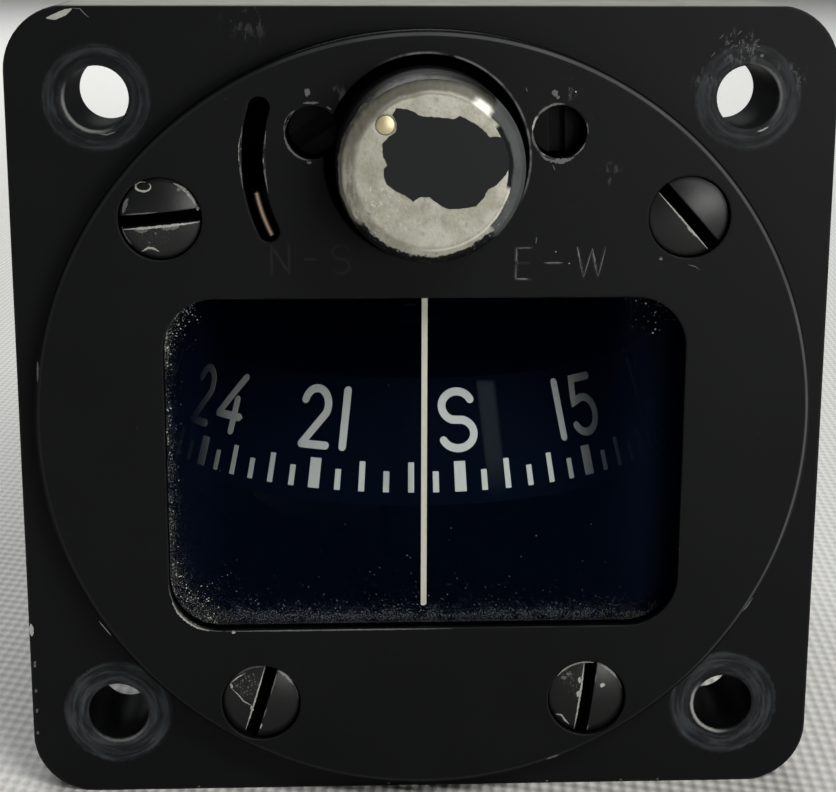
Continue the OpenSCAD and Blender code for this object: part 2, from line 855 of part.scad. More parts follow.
// First fore-and-aft magnet gear, with the crown wheel on top
module ew_lead_gear() {
    color([0.76, 0.6, 0.3])
    difference() {
        union() {
            ew_gear_body(ew_lead_x, 0);
            translate([ew_lead_x, ew_y, ew_hub_z + ew_hub_t - eps])
                cylinder(r = gear_pr + 0.6, h = crown_root_z - ew_hub_z - ew_hub_t + eps);
            translate([ew_lead_x, ew_y, 0])
                for (i = [0 : gear_n - 1])
                    rotate([0, 0, -90 + (i + 0.5) * 360 / gear_n])
                        crown_tooth();
        }
        ew_gear_holes(ew_lead_x);
    }
}

// Second fore-and-aft magnet gear
module ew_trail_gear() {
    color([0.76, 0.6, 0.3])
    difference() {
        ew_gear_body(ew_trail_x, 180 / gear_n);
        ew_gear_holes(ew_trail_x);
    }
}

// Two short rod magnets in line across a gear hub
module ew_magnets(x) {
    for (s = [0, 180])
        translate([x, ew_y, ew_hub_z + ew_hub_t / 2])
            rotate([0, 0, s])
                translate([stud_r + run + 0.25, 0, 0])
                    rotate([0, 90, 0])
                        cylinder(r = ew_rod_r, h = magnet_len / 2 - stud_r - run - 0.25);
}

// Magnets of the first fore-and-aft gear
module ew_lead_magnets() {
    color([0.3, 0.3, 0.33])
    ew_magnets(ew_lead_x);
}

// Magnets of the second fore-and-aft gear
module ew_trail_magnets() {
    color([0.3, 0.3, 0.33])
    ew_magnets(ew_trail_x);
}

// Turned piece of the card about its vertical axis
module turned_card() {
    translate([0, card_y, 0])
        rotate_extrude()
            children();
}

// Conical band that carries the graduations
module card_ring() {
    color([0.05, 0.055, 0.08])
    turned_card()
        polygon([
            [card_r, card_z], [card_r - card_lean * card_h, card_top],
            [card_r - card_lean * card_h - ring_t, card_top], [card_r - ring_t, card_z]
        ]);
}

// Deck and float under the card
module card_float() {
    color([0.1, 0.1, 0.11])
    turned_card()
        polygon([
            [3.05, card_top + 0.9], [8, card_top + 0.3], [deck_r, card_top - 0.2], [deck_r, card_top - 1],
            [15, card_top - 1], [15, float_low], [7, float_low], [7, card_top - 1], [3.05, card_top - 1]
        ]);
}

// Ring magnet that seeks north
module ring_magnet() {
    color([0.28, 0.28, 0.3])
    turned_card()
        polygon([[8, float_low - magnet_t], [13, float_low - magnet_t], [13, float_low], [8, float_low]]);
}

// Hub that holds the pivot in the deck
module pivot_hub() {
    color([0.74, 0.58, 0.3])
    turned_card()
        polygon([
            [0.52, card_top - 2], [2.2, card_top - 2], [2.2, card_top - 1], [3, card_top - 1],
            [3, card_top + 1.4], [1.6, hub_top], [0.52, hub_top]
        ]);
}

// Steel pivot pointing down into the jewel
module pivot_needle() {
    color([0.75, 0.75, 0.78])
    turned_card()
        polygon([[0, tip_z], [0.5, tip_z + 1.2], [0.5, hub_top], [0, hub_top]]);
}

// Cup jewel under the pivot
module jewel() {
    color([0.7, 0.15, 0.3])
    turned_card()
        polygon([
            [0, jewel_top - jewel_h], [jewel_r, jewel_top - jewel_h], [jewel_r, jewel_top],
            [0.75, jewel_top], [0, tip_z - 0.06]
        ]);
}

// Sliding holder of the jewel
module jewel_holder() {
    color([0.74, 0.58, 0.3])
    turned_card()
        translate([0, holder_z])
            square([holder_r, holder_h]);
}

// Soft cushion under the jewel holder
module jewel_cushion() {
    color([0.1, 0.1, 0.1])
    turned_card()
        polygon([
            [0, holder_z - cushion_h], [holder_r - 0.1, holder_z - cushion_h],
            [holder_r - 0.1, holder_z], [0, holder_z]
        ]);
}

// Post that carries the jewel
module pivot_post() {
    color([0.66, 0.66, 0.64])
    turned_card()
        polygon([
            [0, foot_z - 3.6], [1.6, foot_z - 3.6], [1.6, foot_z], [4.6, foot_z], [4.6, foot_z + 2],
            [post_r, foot_z + 2], [post_r, post_top], [holder_r + run, post_top],
            [holder_r + run, holder_z - cushion_h], [0, holder_z - cushion_h]
        ]);
}

// Stop above the hub that keeps the card on its pivot
module card_retainer() {
    color([0.6, 0.6, 0.6])
    turned_card()
        polygon([
            [0, hub_top + 1], [1.6, hub_top + 1], [1.6, roof_under - 1], [3.6, roof_under - 1],
            [3.6, roof_under], [0, roof_under]
        ]);
}

// Gasket between the barrel and the rear plate
module rear_gasket() {
    color([0.12, 0.1, 0.09])
    difference() {
        bar_y(0, 0, case_r - 0.1, gasket_y, rear_y);
        difference() {
            bar_y(0, 0, bore_r - 5, gasket_y - 1, rear_y + 1);
            translate([-case_r, gasket_y - 2, roof_under - 2])
                cube([2 * case_r, 4, roof_t + 4]);
        }
        for (s = rear_screw_spots)
            rear_bar(s, thread_r + 0.2, gasket_y - 1, rear_y + 1);
    }
}

// Plate that closes the bowl
module rear_plate() {
    color([0.55, 0.55, 0.54])
    difference() {
        bar_y(0, 0, case_r, rear_y, cover_y);
        bar_y(0, bellows_z, 1.5, rear_y - 1, cover_y + 1);
        bar_y(0, lamp_z, 2.5, rear_y - 1, cover_y + 1);
        for (s = rear_screw_spots)
            rear_bar(s, thread_r + 0.15, rear_y - 1, cover_y + 1);
    }
}

// Radius and depth of a crest or root of the bellows
function fold_point(i, inset) =
    [(i % 2 == 0 ? bellows_r - 2.4 : bellows_r) - inset, cover_y + i * bellows_len / (2 * fold_n)];

// Thin corrugated bellows that takes up the swelling of the liquid
module bellows() {
    color([0.74, 0.62, 0.36])
    turned_y(0, bellows_z)
        polygon(concat(
            [for (i = [0 : 2 * fold_n]) fold_point(i, 0)],
            [for (i = [0 : 2 * fold_n]) fold_point(2 * fold_n - i, 2 * bellows_wall)]
        ));
}

// Ring that seats the bellows on the rear plate
module bellows_ring() {
    color([0.7, 0.56, 0.3])
    turned_y(0, bellows_z)
        polygon([
            [bellows_r - 5, cover_y], [bellows_r - 3.4, cover_y],
            [bellows_r - 3.4, cover_y + 1.2], [bellows_r - 5, cover_y + 1.2]
        ]);
}

// Moving end of the bellows
module bellows_end() {
    color([0.74, 0.62, 0.36])
    bar_y(0, bellows_z, bellows_r - 2.4, cover_y + bellows_len, cover_y + bellows_len + 0.8);
}

// Cover over the bellows
module rear_cover() {
    color([0.06, 0.06, 0.065])
    difference() {
        union() {
            difference() {
                turned_y(0, 0)
                    polygon([
                        [0, cover_y], [case_r, cover_y], [case_r, cover_end - 1.2],
                        [case_r - 1.2, cover_end], [0, cover_end]
                    ]);
                bar_y(0, 0, bore_r, cover_y - 1, cover_end - cover_wall);
            }
            intersection() {
                bar_y(0, 0, bore_r + 0.2, cover_y, cover_end - eps);
                for (s = rear_screw_spots)
                    rear_bar(s, boss_r, cover_y, cover_end - eps);
            }
        }
        for (s = rear_screw_spots)
            rear_bar(s, thread_r + 0.15, cover_y - 1, cover_end + 1);
        bar_y(0, lamp_z, grommet_r, cover_end - 4, cover_end + 1);
        bar_y(0, -lamp_z + 1.55, 1, cover_end - 4, cover_end + 1);
    }
}

// Four long screws through the rear cover into the barrel
module rear_screws() {
    color([0.6, 0.6, 0.6])
    for (s = rear_screw_spots)
        difference() {
            union() {
                rear_bar(s, thread_r, case_len - 9.5, cover_end + eps);
                rear_bar(s, 2.5, cover_end, cover_end + 1.8);
            }
            translate([s[0] * rear_screw_at - 4, cover_end + 0.9, s[1] * rear_screw_at - 0.35])
                cube([8, 2, 0.7]);
        }
}

// Soft ring where the lamp leads leave
module lead_grommet() {
    color([0.09, 0.09, 0.09])
    turned_y(0, lamp_z)
        polygon([
            [1.6, cover_end - cover_wall - 1], [grommet_r + 0.9, cover_end - cover_wall - 1],
            [grommet_r + 0.9, cover_end - cover_wall], [grommet_r - slip, cover_end - cover_wall],
            [grommet_r - slip, cover_end], [grommet_r + 1.1, cover_end],
            [grommet_r + 0.7, cover_end + 1.1], [1.6, cover_end + 1.1]
        ]);
}

// Slotted plug of the filling hole
module filler_plug() {
    color([0.7, 0.56, 0.3])
    translate([filler_face, filler_y, 0])
        rotate([0, 90, 0])
            difference() {
                union() {
                    translate([0, 0, -3.2])
                        cylinder(r = filler_r, h = 3.6);
                    translate([0, 0, 0.4])
                        cylinder(r = filler_head_r, h = 1);
                }
                translate([-0.4, -4, 0.9])
                    cube([0.8, 8, 1]);
            }
}

// Sealing washer under the plug
module filler_washer() {
    color([0.72, 0.42, 0.26])
    translate([filler_face, filler_y, 0])
        rotate([0, 90, 0])
            difference() {
                cylinder(r = filler_head_r - 0.1, h = 0.4);
                translate([0, 0, -1])
                    cylinder(r = filler_r + slip, h = 3);
            }
}

case_body();
front_plate();
face_screws();
window_glass();
window_seal();
lubber_line();
light_guide();
lamp_socket();
socket_clip();
lamp_insulator();
lamp_contact();
dimmer_lever();
lamp_cap();
cap_rivet();
bulb_grip();
bulb_glass();
bulb_base();
corrector_frame();
frame_screws();
gear_studs();
stud_clips();
ns_spindle();
ew_spindle();
ns_lead_gear();
ns_lead_magnet();
ns_trail_gear();
ns_trail_magnet();
ew_lead_gear();
ew_lead_magnets();
ew_trail_gear();
ew_trail_magnets();
card_ring();
card_float();
ring_magnet();
pivot_hub();
pivot_needle();
jewel();
jewel_holder();
jewel_cushion();
pivot_post();
card_retainer();
rear_gasket();
rear_plate();
bellows();
bellows_ring();
bellows_end();
rear_cover();
rear_screws();
lead_grommet();
filler_plug();
filler_washer();
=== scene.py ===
"""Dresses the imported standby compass: camera, light, materials, markings and wear."""

import math
import random

import bmesh
import bpy
from mathutils import Matrix, Vector


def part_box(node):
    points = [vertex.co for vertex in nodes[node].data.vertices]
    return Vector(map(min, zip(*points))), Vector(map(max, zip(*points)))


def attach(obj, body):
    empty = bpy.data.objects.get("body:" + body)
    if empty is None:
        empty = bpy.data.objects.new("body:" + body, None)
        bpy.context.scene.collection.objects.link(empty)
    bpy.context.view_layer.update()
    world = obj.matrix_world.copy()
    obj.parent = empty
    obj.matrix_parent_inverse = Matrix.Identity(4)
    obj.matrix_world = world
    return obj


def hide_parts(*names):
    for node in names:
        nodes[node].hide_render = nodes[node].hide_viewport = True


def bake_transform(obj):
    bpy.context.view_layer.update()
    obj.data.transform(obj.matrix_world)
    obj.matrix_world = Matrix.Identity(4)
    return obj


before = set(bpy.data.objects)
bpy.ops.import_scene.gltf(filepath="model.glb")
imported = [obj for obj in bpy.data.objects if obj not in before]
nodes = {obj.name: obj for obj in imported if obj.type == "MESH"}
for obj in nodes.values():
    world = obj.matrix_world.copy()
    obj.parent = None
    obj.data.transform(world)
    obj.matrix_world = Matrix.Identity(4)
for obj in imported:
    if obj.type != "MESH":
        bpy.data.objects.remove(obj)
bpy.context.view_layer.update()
scene = bpy.context.scene
MM = 0.001

# Places shared with the solids, in millimetres
FACE_Y = -12.2
FLANGE_Y = -9.0
FLANGE_HALF = 30.15
HOLE_AT = 23.575
BORE_R = 2.3
BOWL_R = 26.2
CAP_Y = -19.5
LAMP_Z = 19.55
SEAT_R = 7.42
SPINDLES = ((-8.1, 21.4), (9.5, 21.4))
SPINDLE_HOLE_R = 1.9
SLOT_R, SLOT_HALF = 12.4, 0.775
PLATE_FACE_R = 28.2
GLASS_IN_Y = -9.4
WIN_HALF_W, WIN_TOP, WIN_LOW = 19.1, 9.45, -15.85
WIN_CORNER = 3.8
CARD_Y = 16.0
CARD_R, CARD_LOW, CARD_LEAN = 22.58, -7.88, 0.31
LUBBER_X, LUBBER_HALF = 0.03, 0.21
BELLOWS_Y, BELLOWS_LEN, BELLOWS_Z = 44.1, 8.4, -4.0
# Plate screws: middle of the head, and the slot's turn in degrees
SCREWS = ((-19.02, 15.28, 5.5), (19.02, 15.28, -48.0), (-12.4, -21.7, 73.0), (12.4, -21.7, 83.0))
SCREW_DOME = 10.0
SCREW_SLOT_HALF = 0.45

# Radii at which the finish of the cap's face and that of a screw head end
CAP_FACE_R = 5.2
SCREW_HEAD_R = 3.1

# Heading under the lubber line, in degrees
HEADING = 187.9

# Colours used more than once
BLACK = (0.0031, 0.0034, 0.0038)
BOWL = (0.0002, 0.0008, 0.0030)
# Near black: painted shade in recesses and in each screw slot, and the spindles' colour, darkened as painted
# shade in their holes
SHADE_BLACK = (0.0007, 0.0008, 0.0010)

# Least share of light that the tinted window takes
VEIL = 0.05

# The photograph's camera: place in millimetres, line of sight, up, and focal length in pixels
EYE = (-6.84, -149.53, 35.60)
SIGHT = (0.0443, 0.9707, -0.2363)
UP = (0.0079, 0.2362, 0.9717)
FOCAL_PX, IMAGE_PX, SENSOR = 1931.4, 836.0, 36.0

# Lights: name, place, aim and size in metres, power in watts, colour
LIGHTS = (("key", (0.33, -0.60, 0.58), (0.0, 0.0, 0.0), (0.30, 0.30), 5.2, (1.0, 0.985, 0.95)),
          ("right", (0.335, -0.68, 0.07), (0.0, 0.0, 0.0), (0.34, 0.18), 2.0, (1.0, 0.99, 0.97)),
          ("back", (-0.12, 0.90, 0.85), (-0.10, 0.55, -0.03), (0.8, 0.5), 11.5, (0.98, 0.99, 1.0)))
SKY, SKY_STRENGTH = (0.93, 0.97, 1.0, 1.0), 0.14

# Floor: its height, half width, near edge and far edge in metres
FLOOR_Z, FLOOR_HALF_W, FLOOR_NEAR, FLOOR_FAR = -FLANGE_HALF * MM, 3.0, -1.5, 4.5

# Rubbed bands round each panel hole: side, (inner and outer radius, amount) of each band, seed,
# direction of the bright rim, amount of the rim
HOLE_BANDS = (((-1, 1), ((3.15, 3.75, 0.50), (2.4, 2.8, 0.25)), 3.0, (-0.7, -0.7), 0.55),
              ((1, 1), ((2.5, 3.0, 0.62), (3.2, 3.75, 0.50)), 11.0, (0.8, 0.3), 0.35),
              ((-1, -1), ((2.45, 3.0, 0.85), (3.2, 4.0, 0.75)), 23.0, (0.1, -0.5), 0.75),
              ((1, -1), ((2.5, 3.2, 0.45), (3.0, 4.1, 0.70)), 31.0, (-0.9, -0.5), 1.0))

# Scratched places: middle, radius, amount
FLANGE_SCRATCHES = ((-12.8, FLANGE_Y, 28.9, 2.2, 0.16), (22.9, FLANGE_Y, 27.0, 1.9, 0.55),
                    (20.6, FLANGE_Y, 24.6, 1.5, 0.3), (26.6, FLANGE_Y, 25.0, 1.6, 0.35))
PLATE_SCRATCHES = ((10.0, FACE_Y, 24.4, 1.0, 0.35), (13.2, FACE_Y, 18.4, 1.2, 0.2),
                   (-6.3, FACE_Y, 24.0, 0.9, 0.25))

# Flaked places on the screw heads: x, z, radius, amount
SCREW_FLAKES = ((-13.5, -20.4, 1.3, 0.8), (10.9, -20.1, 0.8, 0.9), (11.7, -21.1, 0.8, 0.6),
                (-19.5, 14.2, 1.6, 0.25))

# Outline of the paint left on the cap's face, from the lamp axis
CAP_PAINT = ((-2.45, 4.2), (-1.7, 4.15), (-1.25, 4.0), (-0.8, 3.7), (-0.05, 3.65), (0.7, 3.55), (1.45, 3.5),
             (1.9, 3.7), (2.5, 3.4), (3.25, 2.95), (3.9, 2.25), (4.2, 2.3), (4.75, 2.25), (5.1, 1.4),
             (5.25, 0.5), (5.2, 0.05), (4.8, -0.5), (4.4, -0.95), (3.8, -1.25), (3.5, -1.85), (3.0, -2.4),
             (2.1, -2.55), (1.2, -2.6), (0.75, -2.45), (0.3, -2.15), (-0.2, -1.75), (-0.8, -1.75),
             (-1.25, -2.05), (-1.85, -1.6), (-2.6, -1.25), (-3.05, -0.85), (-3.25, -0.35), (-3.25, 0.2),
             (-3.0, 0.4), (-3.3, 0.95), (-3.35, 1.85), (-2.95, 2.3), (-2.45, 2.65), (-2.35, 3.2),
             (-2.65, 3.75))


# Camera and stage

def make_camera():
    look = Vector(SIGHT).normalized()
    right = look.cross(Vector(UP)).normalized()
    up = right.cross(look).normalized()
    data = bpy.data.cameras.new("camera")
    data.sensor_width = SENSOR
    data.sensor_fit = "HORIZONTAL"
    data.lens = FOCAL_PX * SENSOR / IMAGE_PX
    data.clip_start = 0.005
    data.clip_end = 50.0
    cam = bpy.data.objects.new("camera", data)
    scene.collection.objects.link(cam)
    place = Matrix((right, up, -look)).transposed().to_4x4()
    place.translation = Vector(EYE) * MM
    cam.matrix_world = place
    scene.camera = cam


def area_light(name, at, aim, size, power, colour):
    data = bpy.data.lights.new(name, "AREA")
    data.shape = "RECTANGLE"
    data.size, data.size_y = size
    data.energy = power
    data.color = colour
    ob = bpy.data.objects.new(name, data)
    scene.collection.objects.link(ob)
    ob.location = at
    ob.rotation_euler = (Vector(aim) - Vector(at)).to_track_quat("-Z", "Y").to_euler()


def make_floor(mat):
    me = bpy.data.meshes.new("floor")
    corners = [(side * FLOOR_HALF_W, y, FLOOR_Z) for y in (FLOOR_NEAR, FLOOR_FAR) for side in (-1, 1)]
    me.from_pydata(corners, [], [(0, 1, 3, 2)])
    me.materials.append(mat)
    floor = bpy.data.objects.new("floor", me)
    scene.collection.objects.link(floor)


def make_sky():
    world = bpy.data.worlds.new("studio")
    scene.world = world
    world.use_nodes = True
    background = world.node_tree.nodes["Background"]
    background.inputs["Color"].default_value = SKY
    background.inputs["Strength"].default_value = SKY_STRENGTH


# Node helpers

class Value:
    """What a node gives, so that sums of nodes read as plain arithmetic."""

    def __init__(self, graph, socket):
        self.graph, self.socket = graph, socket

    def __add__(self, other):
        return self.graph.math("ADD", self, other)

    def __sub__(self, other):
        return self.graph.math("SUBTRACT", self, other)

    def __rsub__(self, other):
        return self.graph.math("SUBTRACT", other, self)

    def __mul__(self, other):
        return self.graph.math("MULTIPLY", self, other)

    def __truediv__(self, other):
        return self.graph.math("DIVIDE", self, other)

    def __rtruediv__(self, other):
        return self.graph.math("DIVIDE", other, self)

    def __neg__(self):
        return self * -1.0

    def __abs__(self):
        return self.graph.math("ABSOLUTE", self)

    __radd__ = __add__
    __rmul__ = __mul__


class Graph:
    """A material's node tree with short calls for the nodes used here."""

    SOCKETS = {"rough": "Roughness", "metal": "Metallic", "spec": "Specular IOR Level", "alpha": "Alpha"}

    def __init__(self, name):
        self.mat = bpy.data.materials.new(name)
        self.mat.use_nodes = True
        self.tree = self.mat.node_tree
        self.shader = next(n for n in self.tree.nodes if n.type == "BSDF_PRINCIPLED")
        scale = self.new("VectorMath")
        scale.operation = "SCALE"
        scale.inputs["Scale"].default_value = 1.0 / MM
        self.tree.links.new(self.new("TexCoord").outputs["Object"], scale.inputs[0])
        self.mm = Value(self, scale.outputs["Vector"])

    def new(self, kind):
        return self.tree.nodes.new("ShaderNode" + kind)

    def put(self, socket, value):
        if isinstance(value, Value):
            self.tree.links.new(value.socket, socket)
        else:
            socket.default_value = value

    def math(self, op, a, b=0.0):
        n = self.new("Math")
        n.operation = op
        self.put(n.inputs[0], a)
        self.put(n.inputs[1], b)
        return Value(self, n.outputs[0])

    def most(self, a, b):
        return self.math("MAXIMUM", a, b)

    def least(self, a, b):
        return self.math("MINIMUM", a, b)

    def vec(self, op, a, b):
        n = self.new("VectorMath")
        n.operation = op
        self.put(n.inputs[0], a)
        self.put(n.inputs[1], b)
        return Value(self, n.outputs["Value" if op in ("DISTANCE", "DOT_PRODUCT") else "Vector"])

    def xyz(self):
        """The place on the object in millimetres."""
        n = self.new("SeparateXYZ")
        self.put(n.inputs[0], self.mm)
        return [Value(self, out) for out in n.outputs]

    def point(self, x, y, z):
        n = self.new("CombineXYZ")
        for socket, value in zip(n.inputs, (x, y, z)):
            self.put(socket, value)
        return Value(self, n.outputs[0])

    def noise(self, size, detail=3.0, rough=0.55, at=None, stretch=None, offset=None):
        """Noise with features about size millimetres across, from 0 to 1."""
        at = at or self.mm
        if stretch:
            at = self.vec("MULTIPLY", at, stretch)
        if offset:
            at = self.vec("ADD", at, offset)
        n = self.new("TexNoise")
        self.put(n.inputs["Vector"], at)
        n.inputs["Scale"].default_value = 1.0 / size
        n.inputs["Detail"].default_value = detail
        n.inputs["Roughness"].default_value = rough
        return Value(self, n.outputs["Fac"])

    def step(self, value, start, end):
        """0 before start, 1 past end, smooth between; end may be the lower of the two."""
        n = self.new("MapRange")
        n.interpolation_type = "SMOOTHSTEP"
        self.put(n.inputs["Value"], value)
        n.inputs["From Min"].default_value = start
        n.inputs["From Max"].default_value = end
        return Value(self, n.outputs["Result"])

    def mix(self, share, a, b):
        """Colour a, and b over it by its share."""
        n = self.new("Mix")
        n.data_type = "RGBA"
        self.put(n.inputs["Factor"], share)
        self.put(n.inputs[6], a if isinstance(a, Value) else (*a, 1.0))
        self.put(n.inputs[7], b if isinstance(b, Value) else (*b, 1.0))
        return Value(self, n.outputs[2])

    def bevel(self, radius):
        """The surface's normal, rounded within radius millimetres of a sharp edge."""
        n = self.new("Bevel")
        n.samples = 6
        n.inputs["Radius"].default_value = radius * MM
        return Value(self, n.outputs[0])

    def edge(self, soft_normal):
        """How near the surface is to a sharp edge, from 0 to 1."""
        normal = Value(self, self.new("NewGeometry").outputs["Normal"])
        return self.step(1.0 - self.vec("DOT_PRODUCT", soft_normal, normal), 0.01, 0.12)

    def bump(self, height, distance, strength, normal=None):
        n = self.new("Bump")
        n.inputs["Strength"].default_value = strength
        n.inputs["Distance"].default_value = distance * MM
        self.put(n.inputs["Height"], height)
        if normal:
            self.put(n.inputs["Normal"], normal)
        self.tree.links.new(n.outputs[0], self.shader.inputs["Normal"])

    def set(self, colour, **values):
        self.put(self.shader.inputs["Base Color"], colour)
        for name, value in values.items():
            self.put(self.shader.inputs[self.SOCKETS[name]], value)


def scaled(colour, factor):
    return tuple(c * factor for c in colour)


def ring_mask(g, d, r, w):
    """A soft ring of radius r and half width w in the distance d."""
    return g.step(abs(d - r), w, 0.0)


def band(g, d, r0, r1, soft=0.25):
    """1 where the distance d lies between r0 and r1."""
    return g.step(d, r0 - soft, r0 + soft * 0.3) * g.step(d, r1 + soft, r1 - soft * 0.3)


def flat_distance(g, x0, z0):
    """Distance from an axis along Y through x0, z0, and its two parts."""
    x, _, z = g.xyz()
    dx, dz = x - x0, z - z0
    return g.math("SQRT", dx * dx + dz * dz), dx, dz


def streaks(g, d, dx, dz, seed):
    """Broken streaks that run round an axis, from 0 to 1."""
    turn = g.math("ARCTAN2", dz, dx)
    at = g.point(d * 3.2, g.math("SINE", turn) * 1.3, g.math("COSINE", turn) * 1.3 + seed)
    return g.step(g.noise(1.0, 3.0, 0.6, at=at), 0.36, 0.66)


# General finishes

def worn_paint(name, paint, metal=(0.30, 0.29, 0.27), rough=0.42, edge_r=0.3, wear=0.5, scratches=(),
               spec=0.09, extra=None, edge_share=0.5):
    """Satin paint: uneven, dusty, scratched, and rubbed grey or here and there to metal at the edges."""
    g = Graph(name)
    broad = g.noise(9.0, 4.0)
    fine = g.noise(0.35, 3.0)
    soft_normal = g.bevel(edge_r)
    edge = g.edge(soft_normal)
    bare = g.step(edge, 0.25, 0.6) * g.step(g.noise(1.3, 4.0, 0.65), 1.02 - wear, 1.14 - wear)
    colour = g.mix(broad, scaled(paint, 0.75), scaled(paint, 1.3))
    dust = g.step(g.noise(0.15, 2.0, 0.5), 0.735, 0.79) * g.step(g.noise(5.0, 3.0), 0.42, 0.66)
    colour = g.mix(dust * 0.5, colour, (0.12, 0.12, 0.115))
    rub = edge * g.step(g.noise(3.0, 3.0), 0.3, 0.65)
    colour = g.mix(rub * edge_share, colour, (0.05, 0.051, 0.053))
    streak = g.step(g.noise(0.5, 4.0, 0.7, stretch=(1.0, 1.0, 0.45)), 0.53, 0.60)
    for x, y, z, r, amount in scratches:
        near = g.step(g.vec("DISTANCE", g.mm, (x, y, z)), r, r * 0.35)
        colour = g.mix(streak * near * amount, colour, (0.12, 0.125, 0.12))
    shade = 0.0
    if extra:
        colour, bare, shade = extra(g, colour, bare)
    colour = g.mix(bare, colour, g.mix(fine, scaled(metal, 0.7), metal))
    painted = broad * 0.14 + (rough - 0.06)
    g.set(colour, spec=(1.0 - shade) * spec, metal=bare * 0.6, rough=(1.0 - bare) * painted + bare * 0.45)
    g.bump(fine * 0.3 - bare, 0.02, 0.7, soft_normal)
    return g.mat


def metal_mat(name, colour, rough, tarnish=0.35):
    """Machined metal with a fine grain and a patchy film."""
    g = Graph(name)
    patch = g.noise(2.2, 4.0, 0.6)
    grain = g.noise(0.25, 2.0, 0.5)
    soft_normal = g.bevel(0.12)
    tone = g.mix(g.step(patch, 0.45, 0.75) * tarnish, colour, scaled(colour, 0.45))
    tone = g.mix(g.edge(soft_normal) * 0.3, tone, scaled(colour, 1.25))
    g.set(tone, metal=1.0, rough=(patch + grain) * 0.12 + (rough - 0.08))
    g.bump(grain, 0.01, 0.5, soft_normal)
    return g.mat


def plain_mat(name, colour, rough=0.5, vary=0.25, size=1.2, spec=0.4):
    """Moulded or painted finish with a slow change of tone and a fine skin."""
    g = Graph(name)
    tone = g.noise(size * 4, 4.0)
    g.set(g.mix(tone, scaled(colour, 1 - vary), scaled(colour, 1 + vary)),
          rough=tone * 0.12 + (rough - 0.06), spec=spec)
    g.bump(g.noise(size * 0.2, 3.0), 0.01, 0.7)
    return g.mat


def glass_mat(name, colour, alpha, rough):
    """Clear glass or plastic with faint smears, see-through by its alpha."""
    g = Graph(name)
    smear = g.noise(6.0, 4.0, 0.6, stretch=(1.0, 1.0, 0.35))
    g.set(g.mix(smear, scaled(colour, 0.6), colour), alpha=alpha, spec=0.5,
          rough=g.step(smear, 0.5, 0.8) * 0.08 + rough)
    return g.mat


# Finishes of single pieces

def cloth_mat():
    """Pale cloth in a close plain weave."""
    g = Graph("floor_cloth")
    x, y, _ = g.xyz()
    wobble = g.noise(7.0, 2.0) * 1.2
    across = g.math("SINE", x * 4.1 + y * 1.7 + wobble)
    along = g.math("SINE", y * 2.3 - x * 2.6 + wobble)
    weave = across * along * 0.5 + 0.5
    tone = g.mix(g.step(weave, 0.1, 0.8), (0.57, 0.565, 0.54), (0.74, 0.735, 0.71))
    tone = g.mix(g.noise(0.4, 3.0) * 0.25, tone, (0.52, 0.51, 0.48))
    g.set(tone, rough=0.9, spec=0.1)
    g.bump(weave, 0.22, 0.8)
    return g.mat


def case_marks(g, colour, bare):
    """Bands rubbed by screw heads round the panel holes, dust and painted sheen on the top edge, the bowl's
    own dark colour inside, and painted shade that darkens the bores and takes the gloss off them and the
    bowl.
    """
    _, y, z = g.xyz()
    front = g.step(y, FLANGE_Y + 0.25, FLANGE_Y + 0.05)
    behind = g.step(y, FLANGE_Y + 0.15, FLANGE_Y + 0.5)
    slow = g.noise(2.2, 3.0, 0.6)
    ragged = (g.noise(0.5, 4.0, 0.65) - 0.5) * 0.6
    bore_shade = 0.0
    for (side, level), bands, seed, (lean_x, lean_z), rim_amount in HOLE_BANDS:
        d, dx, dz = flat_distance(g, side * HOLE_AT, level * HOLE_AT)
        bore_shade = g.most(bore_shade, g.step(d, BORE_R + 0.12, BORE_R + 0.04) * behind)
        lines = (streaks(g, d, dx, dz, seed) + 0.25) * (slow + 0.4)
        for r0, r1, amount in bands:
            rubbed = band(g, d + ragged, r0, r1) * front * lines * amount
            colour = g.mix(g.least(rubbed, 1.0), colour, (0.036, 0.042, 0.046))
        rim = ring_mask(g, d + ragged * 0.3, BORE_R + 0.12, 0.2) * front
        rim = rim * g.step(dx * lean_x + dz * lean_z, 0.4, 2.2) * rim_amount
        colour = g.mix(rim, colour, (0.27, 0.272, 0.26))
    # Pale band on the flange's top: dust, and painted sheen of bright surroundings seen at a grazing angle
    top = g.step(z, FLANGE_HALF - 0.12, FLANGE_HALF - 0.02) * g.step(y, 0.2, -0.2)
    colour = g.mix(top * (slow * 0.8 + 0.45), colour, (0.30, 0.295, 0.265))
    away, _, _ = flat_distance(g, 0.0, 0.0)
    inner = g.step(away, BOWL_R + 0.1, BOWL_R - 0.1) * g.step(y, FLANGE_Y - 0.1, FLANGE_Y - 0.02)
    colour = g.mix(inner, colour, BOWL)
    # Painted shade darkens the bores; it also takes the gloss off them and off the bowl's inside
    colour = g.mix(bore_shade, colour, (0.0022, 0.0024, 0.0028))
    gloss_shade = g.most(inner, bore_shade * 0.8)
    return colour, bare * (1.0 - gloss_shade), gloss_shade


